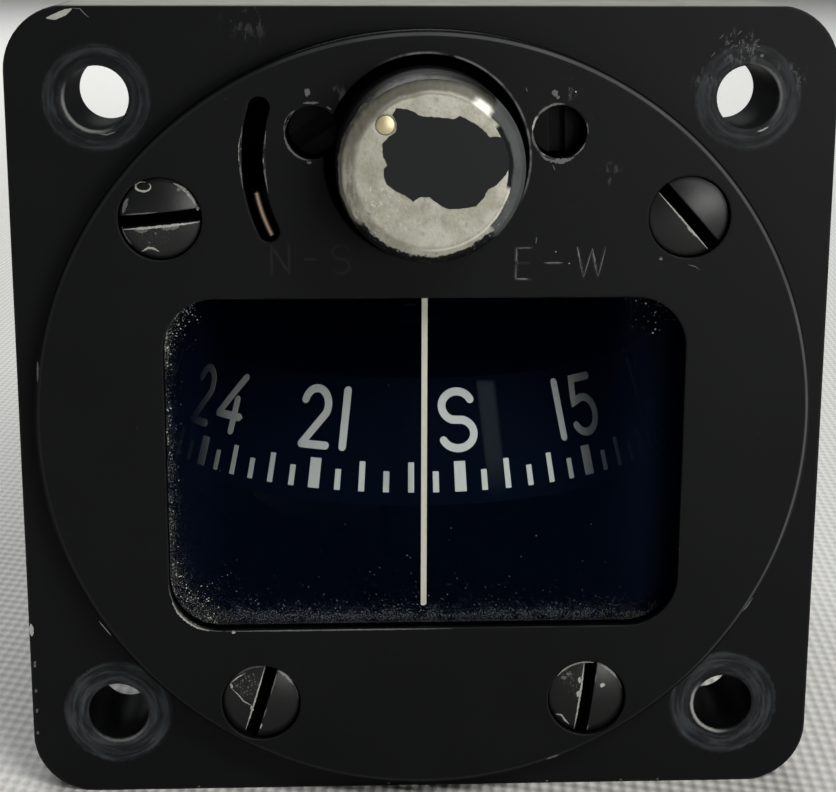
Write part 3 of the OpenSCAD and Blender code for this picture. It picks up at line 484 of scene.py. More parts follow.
def plate_marks(g, colour, bare):
    """Painted highlight round the plate's rim and the cap's seat, mostly up and to the right, where the
    seat's line is also wear; painted shade on the rest of the rim and in the recesses.
    """
    _, y, _ = g.xyz()
    d, dx, dz = flat_distance(g, 0.0, 0.0)
    lit_side = g.most(g.step(dx * 0.030 + dz * 0.020, -0.1, 0.75), 0.2)
    on_rim = g.step(d, PLATE_FACE_R - 0.06, PLATE_FACE_R + 0.04)
    # Painted shade: the rim's bevel is darker than the paint and loses its gloss, least on the side lit from
    # up and to the right
    colour = g.mix(on_rim, colour, scaled(BLACK, 0.7))
    # Painted highlight along the rim, mostly up and to the right
    rim = band(g, d, PLATE_FACE_R, PLATE_FACE_R + 0.16, 0.08) * lit_side * 0.8
    rim = rim * (g.noise(4.0, 3.0, 0.6) + 0.45)
    colour = g.mix(g.least(rim, 1.0), colour, (0.080, 0.083, 0.083))
    # Painted shade in the recesses behind the face
    recess_shade = g.step(y, FACE_Y + 0.2, FACE_Y + 0.6) * g.step(d, PLATE_FACE_R - 0.1, PLATE_FACE_R - 0.4)
    colour = g.mix(recess_shade, colour, SHADE_BLACK)
    shade = g.most(on_rim * (0.9 - lit_side * 0.5), recess_shade)
    d, dx, dz = flat_distance(g, 0.0, LAMP_Z)
    # A light line on the cap's seat, up and to the right: wear and painted highlight
    seat = ring_mask(g, d, SEAT_R, 0.14) * g.step((dx + dz) * 0.10, 0.25, 0.75)
    seat = seat * g.step(g.noise(1.2, 4.0, 0.6), 0.30, 0.62)
    colour = g.mix(seat, colour, (0.16, 0.163, 0.16))
    return colour, bare * (1.0 - shade), shade


def screw_marks(g, colour, bare):
    """Painted shade in each slot, and paint flaked to fine specks on three of the heads."""
    _, y, _ = g.xyz()
    below = g.step(y, FACE_Y + 0.3, FACE_Y + 0.7)
    slot_shade = 0.0
    for cx, cz, turn in SCREWS:
        cosine, sine = math.cos(math.radians(turn)), math.sin(math.radians(turn))
        d, dx, dz = flat_distance(g, cx, cz)
        aside = abs(dz * cosine - dx * sine)
        slot = g.step(aside, SCREW_SLOT_HALF + 0.02, SCREW_SLOT_HALF - 0.03)
        slot_shade = g.most(slot_shade, slot * g.step(d, SCREW_HEAD_R + 0.1, SCREW_HEAD_R - 0.1) * below)
    specks = g.step(g.noise(0.13, 2.0, 0.6), 0.55, 0.68)
    for x, z, r, amount in SCREW_FLAKES:
        near = g.step(g.vec("DISTANCE", g.mm, (x, FACE_Y + 0.2, z)), r, r * 0.5)
        colour = g.mix(specks * near * amount, colour, (0.11, 0.112, 0.105))
    # Painted shade in each slot
    colour = g.mix(slot_shade, colour, SHADE_BLACK)
    return colour, bare * (1.0 - slot_shade), slot_shade


def cap_mat():
    """Bare worn metal with black paint left on the skirt, painted shade on the top of the rounded edge, and
    a painted highlight up and to the right.
    """
    g = Graph("cap_metal_worn_painted_light")
    patch = g.noise(1.6, 5.0, 0.65)
    fine = g.noise(0.22, 3.0, 0.6)
    turned = g.noise(0.35, 3.0, 0.6, stretch=(1.0, 1.0, 0.25))
    ragged = g.noise(1.1, 4.0, 0.65) - 0.5
    _, y, _ = g.xyz()
    d, dx, dz = flat_distance(g, 0.0, LAMP_Z)
    rough_d = d + ragged * 0.35
    bevel = g.step(rough_d, CAP_FACE_R - 0.05, CAP_FACE_R + 0.35)

    # Face: mottled, pitted, stained and flecked
    tone = g.mix(g.step(patch, 0.35, 0.7), (0.415, 0.408, 0.350), (0.29, 0.283, 0.228))
    tone = g.mix(g.step(fine, 0.55, 0.75) * 0.35, tone, (0.17, 0.165, 0.14))
    tone = g.mix(g.step(g.noise(0.5, 3.0, 0.6), 0.66, 0.74) * 0.6, tone, (0.10, 0.095, 0.08))
    # Darker towards the left
    tone = g.mix(g.step(dx, 1.0, -5.0) * 0.30, tone, (0.19, 0.18, 0.14))
    flecks = g.step(g.noise(0.28, 3.0, 0.6), 0.56, 0.70) * g.step(dx - dz, 3.5, -1.0)
    tone = g.mix(flecks * g.step(dz, 0.5, -2.0) * 0.55, tone, (0.60, 0.585, 0.50))
    stain = g.step(g.noise(0.7, 4.0, 0.6, offset=(3.0, 0.0, 9.0)), 0.52, 0.72)
    tone = g.mix(stain * 0.55, tone, (0.20, 0.19, 0.15))

    # Rounded edge: painted shade, grey on top and nearly black at its foot; a bright line low on the right
    top_shade = bevel * g.step(dz - dx * 0.15, 0.6, 3.4)
    tone = g.mix(top_shade * 0.94, tone, g.mix(turned, (0.050, 0.048, 0.035), (0.105, 0.102, 0.078)))
    foot_shade = g.step(rough_d, CAP_FACE_R + 0.55, CAP_FACE_R + 1.25) * g.step(dz, 0.5, 3.5)
    tone = g.mix(foot_shade * 0.95, tone, (0.012, 0.012, 0.010))
    left = bevel * g.step(-dx, 2.5, 5.5) * g.step(turned, 0.40, 0.62)
    tone = g.mix(left * 0.7, tone, (0.13, 0.12, 0.10))
    crease = ring_mask(g, rough_d, CAP_FACE_R, 0.16) * g.step(dz, 2.5, 4.0)
    tone = g.mix(crease * 0.55, tone, (0.09, 0.078, 0.06))
    # A bright line on the edge, low on the right
    bright_edge_line = ring_mask(g, d, CAP_FACE_R + 0.22, 0.14) * g.step(dx - dz, 4.0, 6.0)
    tone = g.mix(bright_edge_line * 0.7, tone, (0.72, 0.71, 0.64))

    # Paint left on the skirt, to the right and below, and where the right side meets the face
    skirt = g.step(y + ragged * 0.9, CAP_Y + 0.85, CAP_Y + 1.05)
    right = g.step(dx - abs(dz) * 0.55 + ragged * 1.6, 1.6, 2.1)
    right = right * g.step(d + ragged * 0.5, CAP_FACE_R + 0.18, CAP_FACE_R + 0.32)
    low = g.step(d + ragged * 0.8, CAP_FACE_R + 0.55, CAP_FACE_R + 0.7)
    low = low * g.step(ragged * 2.0 - dz, 3.2, 3.9)
    paint = g.most(skirt, g.most(right, low)) * (1.0 - g.step(fine, 0.62, 0.70) * 0.7)
    wedge = g.step(dx - abs(dz - 1.15) * 1.7, 0.9, 1.6) * g.step(d, CAP_FACE_R - 0.08, CAP_FACE_R)
    paint = g.most(paint, wedge)
    outer = right * g.step(rough_d, CAP_FACE_R + 0.2, CAP_FACE_R + 0.42)
    # The paint shows grey-blue, a painted sheen on black paint, except its outer part on the right, which
    # stays near black
    grey = g.mix(patch, (0.036, 0.040, 0.040), (0.100, 0.108, 0.105))
    tone_painted = g.mix(paint, tone, g.mix(outer, (0.0070, 0.0074, 0.0078), grey))

    # Painted highlight: one bright spot on the rounded edge, up and to the right
    away, _, _ = flat_distance(g, 3.45, LAMP_Z + 4.25)
    painted_glint = g.step(away + ragged * 0.9, 1.05, 0.35)
    painted_glint = painted_glint * g.step(abs(rough_d - (CAP_FACE_R + 0.35)), 0.45, 0.12)
    dull = g.most(paint * 0.85, foot_shade * 0.9)
    g.set(g.mix(painted_glint, tone_painted, (0.86, 0.85, 0.76)), spec=(1.0 - dull) * 0.25,
          metal=(1.0 - g.most(paint, top_shade * 0.9)) * 0.45, rough=patch * 0.2 + 0.38)
    g.bump(patch * 0.7 + fine, 0.03, 0.6, g.bevel(0.3))
    return g.mat


def lubber_mat():
    """Cream line along the middle of a dark strip."""
    g = Graph("lubber_painted")
    x, _, _ = g.xyz()
    side = g.step(abs(x - LUBBER_X), LUBBER_HALF - 0.02, LUBBER_HALF + 0.03)
    cream = g.mix(g.noise(1.5, 3.0), (0.47, 0.45, 0.385), (0.54, 0.53, 0.47))
    g.set(g.mix(side, cream, BOWL), rough=0.6, spec=(1.0 - side) * 0.2)
    return g.mat


def pane_mat():
    """Window pane: faint colour of the liquid behind it, painted shadow at the sides, dust at its edges, a
    faint painted reflection, and painted shade that darkens it towards the top.
    """
    g = Graph("pane_clear")
    x, y, z = g.xyz()
    rear = g.step(y, GLASS_IN_Y - 0.2, GLASS_IN_Y - 0.1)
    left, right = x + WIN_HALF_W, WIN_HALF_W - x
    foot, top = z - WIN_LOW, WIN_TOP - z

    def fall(distance, reach):
        """1 at no distance, falling off over reach."""
        return g.math("POWER", 2.718, g.most(distance, 0.0) / -reach)

    # Painted shadow: the pane darkens where the window's sides shade the card
    side_shadow = g.step(x, 10.1, 10.9) * 0.08 + g.step(x, 13.2, 16.8) * 0.80
    side_shadow = g.most(side_shadow, g.step(x, -14.0, -17.6) * 0.94)
    liquid_and_shadow = g.most(side_shadow, VEIL)
    share = fall(left, 0.7) * 0.75 + fall(foot, 0.75) * 0.8 + fall(foot, 2.8) * 0.24
    share = share + fall(left + foot, 3.6) * 0.9
    share = share + fall(left + top * 0.6, 1.5) + fall(right * 0.6 + top, 2.2) * 0.7
    clump = g.step(g.noise(0.9, 4.0, 0.65), 0.25, 0.75)
    share = g.least(share * (clump + 0.45), 1.0)
    speck = g.noise(0.10, 2.0, 0.7, offset=(7.0, 3.0, 5.0))
    dust = g.step(speck + share * 0.20, 0.63, 0.84) * rear * g.least(share * 2.2, 1.0)
    # Painted reflection: a faint slanted streak of light
    slant = x + z * 0.12
    painted_reflection = g.step(slant, 4.1, 4.4) * g.step(slant, 5.75, 5.3) * g.step(z, -6.8, -3.0) * g.step(z, 2.8, 2.4)
    # Pane colour: navy blue low down, near black towards the top as painted shade
    veil = g.mix(g.step(z, 7.0, -5.0), (0.0, 0.005, 0.024), (0.008, 0.030, 0.085))
    veil = g.mix(painted_reflection, veil, (0.20, 0.26, 0.32))
    colour = g.mix(VEIL / liquid_and_shadow, BOWL, veil)
    colour = g.mix(dust, colour, g.mix(g.noise(0.21, 2.0), (0.02, 0.02, 0.018), (0.17, 0.17, 0.15)))
    g.set(colour, spec=0.01, rough=0.4, alpha=g.most(liquid_and_shadow * rear, dust))
    return g.mat


def lever_mat():
    """Lever: nearly black as painted shade where it shows in the slot, brown tarnish round the tab, and a
    bright line along the tab's middle, worn and painted highlight.
    """
    g = Graph("lever_shaded_tarnished")
    d, _, _ = flat_distance(g, 0.0, LAMP_Z)
    _, y, _ = g.xyz()
    patch = g.noise(0.8, 4.0, 0.6)
    tab = g.step(y, -9.4, -9.8)
    # Nearly black as painted shade; brown tarnish on the tab
    tone = g.mix(tab, (0.0015, 0.0012, 0.0012), g.mix(patch, (0.006, 0.003, 0.002), (0.016, 0.008, 0.005)))
    # Bright line along the tab's middle: wear and painted highlight
    line = ring_mask(g, d, SLOT_R, 0.16) * tab
    g.set(g.mix(line, tone, (0.30, 0.21, 0.155)), metal=line * 0.5, spec=0.2, rough=patch * 0.2 + 0.4)
    g.bump(patch, 0.01, 0.5)
    return g.mat


def dress(names, mat):
    for name in names.split():
        mesh = nodes[name].data
        mesh.materials.clear()
        mesh.materials.append(mat)
        for p in mesh.polygons:
            p.material_index = 0


# Mesh helpers

def piece(name, verts, faces, mat, body, smooth=False):
    """A piece from points in millimetres that rides on body, or on none."""
    me = bpy.data.meshes.new(name)
    me.from_pydata([Vector(v) * MM for v in verts], [], faces)
    me.validate()
    bm = bmesh.new()
    bm.from_mesh(me)
    bmesh.ops.recalc_face_normals(bm, faces=bm.faces)
    bm.to_mesh(me)
    bm.free()
    me.materials.append(mat)
    for p in me.polygons:
        p.use_smooth = smooth
    ob = bpy.data.objects.new(name, me)
    scene.collection.objects.link(ob)
    if body:
        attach(ob, body)
    return ob


def arc(cx, cy, rx, ry, a0, a1, n=14):
    angles = [math.radians(a0 + (a1 - a0) * i / n) for i in range(n + 1)]
    return [(cx + rx * math.cos(a), cy + ry * math.sin(a)) for a in angles]


def between(points, spacing, least):
    """The points of a line, with others set between them about a spacing apart."""
    fine = []
    for (ax, ay), (bx, by) in zip(points, points[1:]):
        n = max(least, int(math.hypot(bx - ax, by - ay) / spacing))
        fine += [(ax + (bx - ax) * i / n, ay + (by - ay) * i / n) for i in range(n)]
    return fine + [points[-1]]


# (width, strokes) of characters one unit tall, as centre lines of a round-ended pen
GLYPHS = {
    "0": (0.56, [arc(0.28, 0.72, 0.28, 0.28, 0, 180) + arc(0.28, 0.28, 0.28, 0.28, 180, 360)
                 + [(0.56, 0.72)]]),
    "1": (0.0, [[(0, 0), (0, 1)]]),
    "2": (0.5, [arc(0.25, 0.71, 0.235, 0.29, 165, -28) + [(0.02, 0.0)], [(0.02, 0.0), (0.5, 0.0)]]),
    "3": (0.56, [arc(0.27, 0.755, 0.25, 0.245, 150, -80) + [(0.24, 0.515)],
                 arc(0.27, 0.265, 0.29, 0.265, 92, -150)]),
    "4": (0.6, [[(0.56, 1.0), (0.02, 0.27)], [(0.02, 0.27), (0.6, 0.27)], [(0.46, 0.58), (0.46, 0.0)]]),
    "5": (0.58, [[(0.52, 1.0), (0.1, 1.0), (0.05, 0.56)] + arc(0.28, 0.32, 0.3, 0.32, 118, -150)]),
    "6": (0.58, [arc(0.29, 0.3, 0.29, 0.3, 180, -180, 26) + [(0.02, 0.42)]
                 + arc(0.5, 0.45, 0.48, 0.55, 176, 100)]),
    "N": (0.62, [[(0, 0), (0, 1), (0.62, 0), (0.62, 1)]]),
    "E": (0.5, [[(0.5, 1), (0, 1), (0, 0), (0.5, 0)], [(0, 0.52), (0.42, 0.52)]]),
    "S": (0.6, [arc(0.3, 0.745, 0.28, 0.255, 25, 250, 18) + arc(0.3, 0.255, 0.3, 0.255, 70, -155, 18)]),
    "W": (0.86, [[(0, 1), (0.2, 0), (0.43, 0.9), (0.66, 0), (0.86, 1)]]),
    "-": (0.4, [[(0.0, 0.5), (0.4, 0.5)]]),
}


def ribbon(points, width):
    """Flat round-ended stroke through points: (vertices, faces) in the stroke's plane."""
    fine = between(points, 0.35, 1)
    last, half = len(fine) - 1, width / 2
    verts = []
    for i, (x, y) in enumerate(fine):
        px, py = fine[max(0, i - 1)]
        qx, qy = fine[min(last, i + 1)]
        before = Vector((x - px, y - py)) if i else Vector((qx - x, qy - y))
        after = Vector((qx - x, qy - y)) if i < last else before
        before.normalize()
        after.normalize()
        along = before + after
        along = along.normalized() if along.length > 1e-6 else before
        k = half / max(0.8, along.dot(before))
        verts += [(x - along.y * k, y + along.x * k), (x + along.y * k, y - along.x * k)]
    faces = [(2 * i, 2 * i + 1, 2 * i + 3, 2 * i + 2) for i in range(last)]
    for end, inner in ((0, 1), (last, last - 1)):
        x, y = fine[end]
        away = math.atan2(y - fine[inner][1], x - fine[inner][0])
        start = len(verts)
        verts.append((x, y))
        for k in range(9):
            a = away - math.pi / 2 + math.pi * k / 8
            verts.append((x + half * math.cos(a), y + half * math.sin(a)))
        faces += [(start, start + k + 1, start + k + 2) for k in range(8)]
    return verts, faces


def film(flat, place, thick):
    """Thin raised solids from flat faces: place(u, v, lift) gives the point in space."""
    verts, faces = [], []
    for vs, fs in flat:
        low = len(verts)
        verts += [place(u, v, 0.0) for u, v in vs]
        top = len(verts)
        verts += [place(u, v, thick) for u, v in vs]
        edges = {}
        for f in fs:
            faces.append(tuple(top + i for i in f))
            faces.append(tuple(low + i for i in reversed(f)))
            for a, b in zip(f, f[1:] + f[:1]):
                edges[(a, b)] = True
        for a, b in edges:
            if (b, a) not in edges:
                faces.append((low + a, low + b, top + b, top + a))
    return verts, faces


def word(text, height, width, gap):
    """Flat strokes of a word, centred on zero, standing on zero."""
    total = sum(GLYPHS[c][0] * height for c in text) + gap * (len(text) - 1)
    u, out = -total / 2, []
    for c in text:
        w, strokes = GLYPHS[c]
        for s in strokes:
            out.append(ribbon([(u + x * height, y * height) for x, y in s], width))
        u += w * height + gap
    return out


# Card markings

def card_radius(z):
    return CARD_R - CARD_LEAN * (z - CARD_LOW)


def card_point(heading, z, lift):
    r = card_radius(z) + 0.004 + lift
    a = math.radians(HEADING - heading)
    return (r * math.sin(a), CARD_Y - r * math.cos(a), z)


def card_markings(mat):
    """Ticks every 5 degrees, and numbers and letters every 30, raised a little from the card."""
    verts, faces = [], []
    thick = 0.03

    def add(film_verts, film_faces):
        base = len(verts)
        verts.extend(film_verts)
        faces.extend(tuple(base + i for i in f) for f in film_faces)

    tick_low = -6.95
    for h in range(0, 360, 5):
        if h % 30 == 0:
            top, half = -4.70, 0.46
        elif h % 10 == 0:
            top, half = -4.72, 0.235
        else:
            top, half = -5.40, 0.235
        span = math.degrees(half / card_radius(tick_low))
        tick = ([(-span, tick_low), (span, tick_low), (span, top), (-span, top)], [(0, 1, 2, 3)])
        add(*film([tick], lambda u, z, t, h=h: card_point(h - u, z, t), thick))
    names = {0: "N", 30: "3", 60: "6", 90: "E", 120: "12", 150: "15", 180: "S", 210: "21", 240: "24",
             270: "W", 300: "30", 330: "33"}
    pen, low, high, gap = 0.6, -4.05, 0.78, 1.4
    aside = {210: 0.27, 240: 0.27}
    for h, text in names.items():

        def place(u, v, t, h=h):
            z = low + pen / 2 + v
            return card_point(h - math.degrees((u + aside.get(h, 0.0)) / card_radius(z)), z, t)

        add(*film(word(text, high - low - pen, pen, gap), place, thick))
    return piece("card_markings", verts, faces, mat, "card")


# Legends and wear on the front

def on_face(x, z):
    """Depth of the front plate's face, with the bevel round its edge."""
    return FACE_Y + max(0.0, math.hypot(x, z) - PLATE_FACE_R)


def on_flange(x, z):
    return FLANGE_Y


def on_screw(index):
    """Depth of a domed screw head."""
    cx, cz, _ = SCREWS[index]
    crown = FACE_Y + 0.05 + SCREW_DOME
    return lambda x, z: crown - math.sqrt(SCREW_DOME ** 2 - (x - cx) ** 2 - (z - cz) ** 2)


def legend(name, text, x0, x1, z0, z1, mat):
    """A word on the plate's face that fills the box from x0, z0 to x1, z1."""
    pen = 0.2
    height = z1 - z0 - pen
    natural = sum(GLYPHS[c][0] * height for c in text)
    gap = (x1 - x0 - pen - natural) / (len(text) - 1)
    cx = (x0 + x1) / 2
    verts, faces = film(word(text, height, pen, gap),
                        lambda u, v, t: (cx + u, FACE_Y + 0.008 - t, z0 + pen / 2 + v), 0.012)
    return piece(name, verts, faces, mat, "case")


class Marks:
    """Scratches and bare spots laid on the front as thin ragged films of one tone."""

    SINK, LIFT = 0.006, 0.012

    def __init__(self, name, mat, seed):
        self.name, self.mat = name, mat
        self.rng = random.Random(seed)
        self.verts, self.faces = [], []

    def add(self, flat, depth):
        verts, faces = film(flat, lambda u, v, t: (u, depth(u, v) + self.SINK - t, v), self.SINK + self.LIFT)
        base = len(self.verts)
        self.verts += verts
        self.faces += [tuple(base + i for i in f) for f in faces]

    def line(self, width, *points, ragged=0.42, depth=on_face):
        """A scratch through points, of uneven width, thin at its ends."""
        fine = between(points, 0.09, 2)
        n = len(fine) - 1
        verts = []
        for i, (x, z) in enumerate(fine):
            px, pz = fine[max(0, i - 1)]
            qx, qz = fine[min(n, i + 1)]
            length = math.hypot(qx - px, qz - pz)
            nx, nz = -(qz - pz) / length, (qx - px) / length
            end = min(1.0, 0.2 + 3.0 * min(i, n - i) / n)
            for side in (1, -1):
                h = side * width / 2 * end * self.rng.uniform(1.0 - ragged, 1.0 + ragged * 0.8)
                verts.append((x + nx * h, z + nz * h))
        faces = [(2 * i, 2 * i + 1, 2 * i + 3, 2 * i + 2) for i in range(n)]
        self.add([(verts, faces)], depth)

    def spot(self, x, z, r, tall=1.0, depth=on_face):
        """A ragged round bare spot."""
        n = 11
        verts = [(x, z)]
        for i in range(n):
            k = r * self.rng.uniform(0.6, 1.25)
            a = 2 * math.pi * i / n
            verts.append((x + k * math.cos(a), z + k * tall * math.sin(a)))
        self.add([(verts, [(0, 1 + i, 1 + (i + 1) % n) for i in range(n)])], depth)

    def arc(self, width, cx, cz, r, a0, a1, depth=on_face):
        n = max(3, int(abs(a1 - a0) / 6))
        self.line(width, *arc(cx, cz, r, r, a0, a1, n), depth=depth)

    def done(self):
        return piece(self.name, self.verts, self.faces, self.mat, "case")


def screw_wear(bright, dim):
    """Bare slot edges, rims and flaked spots on the four plate screws."""

    def slot_edge(tone, index, side, s0, s1, width):
        cx, cz, turn = SCREWS[index]
        c, s = math.cos(math.radians(turn)), math.sin(math.radians(turn))
        off = side * (SCREW_SLOT_HALF + width / 2 + 0.01)
        n = max(2, int(abs(s1 - s0) / 0.7))
        along = [s0 + (s1 - s0) * i / n for i in range(n + 1)]
        points = [(cx + t * c - off * s, cz + t * s + off * c) for t in along]
        tone.line(width, *points, depth=on_screw(index))

    def rim(tone, index, width, r, a0, a1):
        cx, cz, _ = SCREWS[index]
        tone.arc(width, cx, cz, r, a0, a1, on_screw(index))

    def line(tone, index, width, *points):
        cx, cz, _ = SCREWS[index]
        tone.line(width, *[(cx + x, cz + z) for x, z in points], depth=on_screw(index))

    def spot(tone, index, x, z, r, tall=1.0):
        cx, cz, _ = SCREWS[index]
        tone.spot(cx + x, cz + z, r, tall, on_screw(index))

    # Upper left
    rim(bright, 0, 0.22, 2.70, 68, 20)
    spot(bright, 0, 2.70, 0.68, 0.13)
    spot(dim, 0, 1.37, 2.10, 0.17)
    rim(dim, 0, 0.26, 2.66, 172, 147)
    slot_edge(bright, 0, -1, -2.7, 2.75, 0.17)
    slot_edge(dim, 0, -1, -1.9, -0.9, 0.42)
    slot_edge(dim, 0, -1, 0.0, 1.3, 0.40)
    slot_edge(dim, 0, 1, -2.4, -0.1, 0.10)
    rim(dim, 0, 0.10, 2.80, 192, 222)
    line(bright, 0, 0.15, (-1.4, -2.40), (-0.95, -2.12), (-0.55, -2.15), (-0.15, -2.38))
    line(bright, 0, 0.13, *arc(-1.15, 2.28, 0.55, 0.33, 70, 400))
    spot(dim, 0, -0.33, -1.05, 0.08)
    spot(dim, 0, -0.8, -1.7, 0.08)
    # Upper right
    slot_edge(bright, 1, -1, -2.75, 2.75, 0.11)
    slot_edge(bright, 1, -1, 0.3, 1.5, 0.18)
    rim(dim, 1, 0.10, 2.80, 62, 5)
    # Lower left
    slot_edge(bright, 2, 1, -2.6, 2.75, 0.11)
    spot(bright, 2, -0.72, -0.5, 0.15, 1.6)
    slot_edge(dim, 2, -1, 2.4, 0.8, 0.09)
    slot_edge(dim, 2, -1, -0.3, -1.2, 0.09)
    slot_edge(bright, 2, -1, -1.7, -2.2, 0.13)
    rim(bright, 2, 0.20, 2.74, 62, 27)
    rim(dim, 2, 0.10, 2.78, 27, 0)
    rim(dim, 2, 0.13, 2.76, 130, 84)
    line(bright, 2, 0.20, (-2.3, 1.45), (-2.2, 1.05))
    line(bright, 2, 0.08, (-2.2, 1.0), (-1.8, 0.65), (-1.35, 0.1), (-0.75, -0.25))
    line(bright, 2, 0.07, (-2.3, 1.5), (-1.75, 1.95), (-1.2, 2.25))
    for x, z in ((-1.4, 1.7), (-1.15, 1.9), (-1.6, 1.2), (-1.0, 1.2),
                 (-0.9, 1.7), (-1.3, 0.8), (-0.6, 2.2), (-1.9, 1.3)):
        spot(dim, 2, x, z, 0.07)
    # Lower right
    slot_edge(bright, 3, 1, -2.75, 2.75, 0.13)
    spot(bright, 3, -0.55, 1.4, 0.12, 2.0)
    spot(bright, 3, -0.62, 0.3, 0.14, 2.0)
    rim(bright, 3, 0.12, 2.76, 143, 78)
    spot(dim, 3, -1.75, 1.55, 0.26, 0.7)
    spot(dim, 3, -1.35, 1.85, 0.22, 0.7)
    rim(bright, 3, 0.19, 2.74, 66, 30)
    rim(dim, 3, 0.09, 2.78, 30, 12)
    spot(bright, 3, 1.2, 0.95, 0.20, 0.8)
    line(bright, 3, 0.13, (-2.3, -1.45), (-1.85, -1.5), (-1.65, -1.85), (-1.25, -2.3))
    slot_edge(dim, 3, -1, 1.9, 1.3, 0.09)
    slot_edge(dim, 3, -1, -2.3, -2.75, 0.10)


def face_wear(bright, dim):
    """Chips round the spindle holes, bright lines along the dimmer slot's edges, traces in the right legend,
    nicks on the edges.
    """
    (ax, az), (bx, bz) = SPINDLES

    def chips(x, z, *rows):
        for tone, width, away, a0, a1 in rows:
            tone.arc(width, x, z, SPINDLE_HOLE_R + away, a0, a1)

    def lines(*rows):
        for tone, width, *points in rows:
            tone.line(width, *points)

    # Left spindle hole
    chips(ax, az, (dim, 0.17, 0.10, 128, 180), (bright, 0.13, 0.08, 136, 172), (dim, 0.15, 0.09, 178, 262))
    dim.line(0.16, (ax - 0.65, az + 2.08), (ax + 0.45, az + 2.10))
    dim.spot(ax - 0.33, az + 2.85, 0.20, 1.6)
    dim.line(0.09, (ax + 1.0, az + 1.85), (ax + 1.35, az + 1.6))
    dim.spot(ax - 0.25, az - 2.12, 0.2, 0.6)
    # Right spindle hole
    chips(bx, bz, (dim, 0.17, 0.10, 82, 150), (bright, 0.16, 0.09, 140, 178), (dim, 0.15, 0.09, 176, 232),
          (dim, 0.32, 0.16, 226, 300), (bright, 0.12, 0.08, 214, 262), (dim, 0.10, 0.07, 300, 338),
          (dim, 0.07, 0.10, -5, 20))
    dim.spot(bx - 0.42, bz + 2.75, 0.20, 1.2)
    dim.spot(bx - 0.2, bz + 2.45, 0.13)
    bright.spot(bx + 1.05, bz + 2.85, 0.07)
    dim.line(0.06, (bx - 0.5, bz - 2.3), (bx - 0.3, bz - 2.75))
    dim.line(0.07, (7.0, 24.55), (7.12, 24.25))
    # Dimmer slot: bright lines along its edges, worn paint and painted highlight
    outer, inner = SLOT_R + SLOT_HALF, SLOT_R - SLOT_HALF
    dim.arc(0.13, 0.0, LAMP_Z, outer + 0.08, 170, 189)
    bright.arc(0.17, 0.0, LAMP_Z, outer + 0.10, 173, 182.5)
    dim.arc(0.12, 0.0, LAMP_Z, inner - 0.07, 170, 192)
    bright.arc(0.11, 0.0, LAMP_Z, inner - 0.07, 174, 184)
    # Right legend
    lines((dim, 0.13, (6.52, 13.1), (6.5, 10.85)), (bright, 0.09, (6.52, 12.3), (6.47, 10.95)),
          (dim, 0.12, (6.42, 10.84), (7.4, 10.83)), (dim, 0.06, (6.5, 13.08), (7.7, 13.1)),
          (dim, 0.10, (8.5, 12.0), (9.9, 12.0)), (dim, 0.14, (10.9, 13.15), (11.42, 10.95)),
          (bright, 0.07, (11.1, 12.4), (11.4, 11.05)), (dim, 0.06, (11.42, 10.98), (12.0, 13.0)),
          (dim, 0.13, (12.0, 13.05), (12.46, 10.95)), (bright, 0.06, (12.2, 12.2), (12.45, 11.05)),
          (dim, 0.06, (12.48, 10.98), (12.98, 13.1)))
    bright.spot(10.35, 11.95, 0.055)
    bright.spot(9.35, 12.8, 0.05)
    dim.line(0.06, (7.95, 13.9), (7.9, 13.4))
    dim.spot(17.0, 12.25, 0.12)
    dim.line(0.05, (19.0, 11.8), (19.5, 11.7), (19.9, 11.4))
    # Rim of the plate and the window's lip
    dim.line(0.16, (24.2, -14.95), (24.6, -14.45), (24.95, -13.9))
    bright.line(0.10, (-24.5, -15.2), (-23.6, -16.3))
    dim.line(0.25, (9.4, -26.75), (10.4, -26.45))
    dim.line(0.16, (-28.2, 3.4), (-28.15, 4.9))
    bright.arc(0.24, -15.3, -12.05, 3.92, 203, 256)
    bright.spot(-14.4, -15.98, 0.13)
    dim.arc(0.09, -15.3, -12.05, 3.86, 182, 272)
    dim.line(0.11, (-15.0, -15.92), (-6.0, -15.92), (2.0, -15.92))
    # Edges of the flange
    bright.line(0.42, (-26.9, 29.2), (-26.3, 29.3), (-25.7, 29.55), (-25.1, 29.85), ragged=0.08,
                depth=on_flange)
    dim.line(0.07, (-25.1, 29.9), (-24.5, 29.85), (-24.2, 29.5), (-23.9, 29.25), depth=on_flange)
    bright.line(0.3, (-30.0, -16.3), (-29.97, -17.3), ragged=0.2, depth=on_flange)
    dim.line(0.10, (-23.5, 21.02), (-22.9, 20.95), (-22.3, 21.15), depth=on_flange)
    bright.line(0.10, (24.35, 21.1), (24.75, 21.2), (25.15, 21.45), depth=on_flange)
    dim.spot(24.45, 26.55, 0.14, depth=on_flange)
    rng = bright.rng
    for _ in range(26):
        x, z = rng.gauss(23.1, 0.75), rng.gauss(26.9, 0.6)
        if math.hypot(x - HOLE_AT, z - HOLE_AT) > BORE_R + 0.2:
            end = (x + rng.uniform(0.05, 0.35), z + rng.uniform(-0.05, 0.4))
            dim.line(0.05, (x, z), end, depth=on_flange)
    for _ in range(5):
        rng.random()  # Passed over, which keeps the later spots where they are
        dim.spot(-29.85, rng.uniform(-26.0, -19.0), 0.10, 1.5, depth=on_flange)
        dim.spot(rng.uniform(-26.0, 27.0), -29.98, 0.10, 0.7, depth=on_flange)


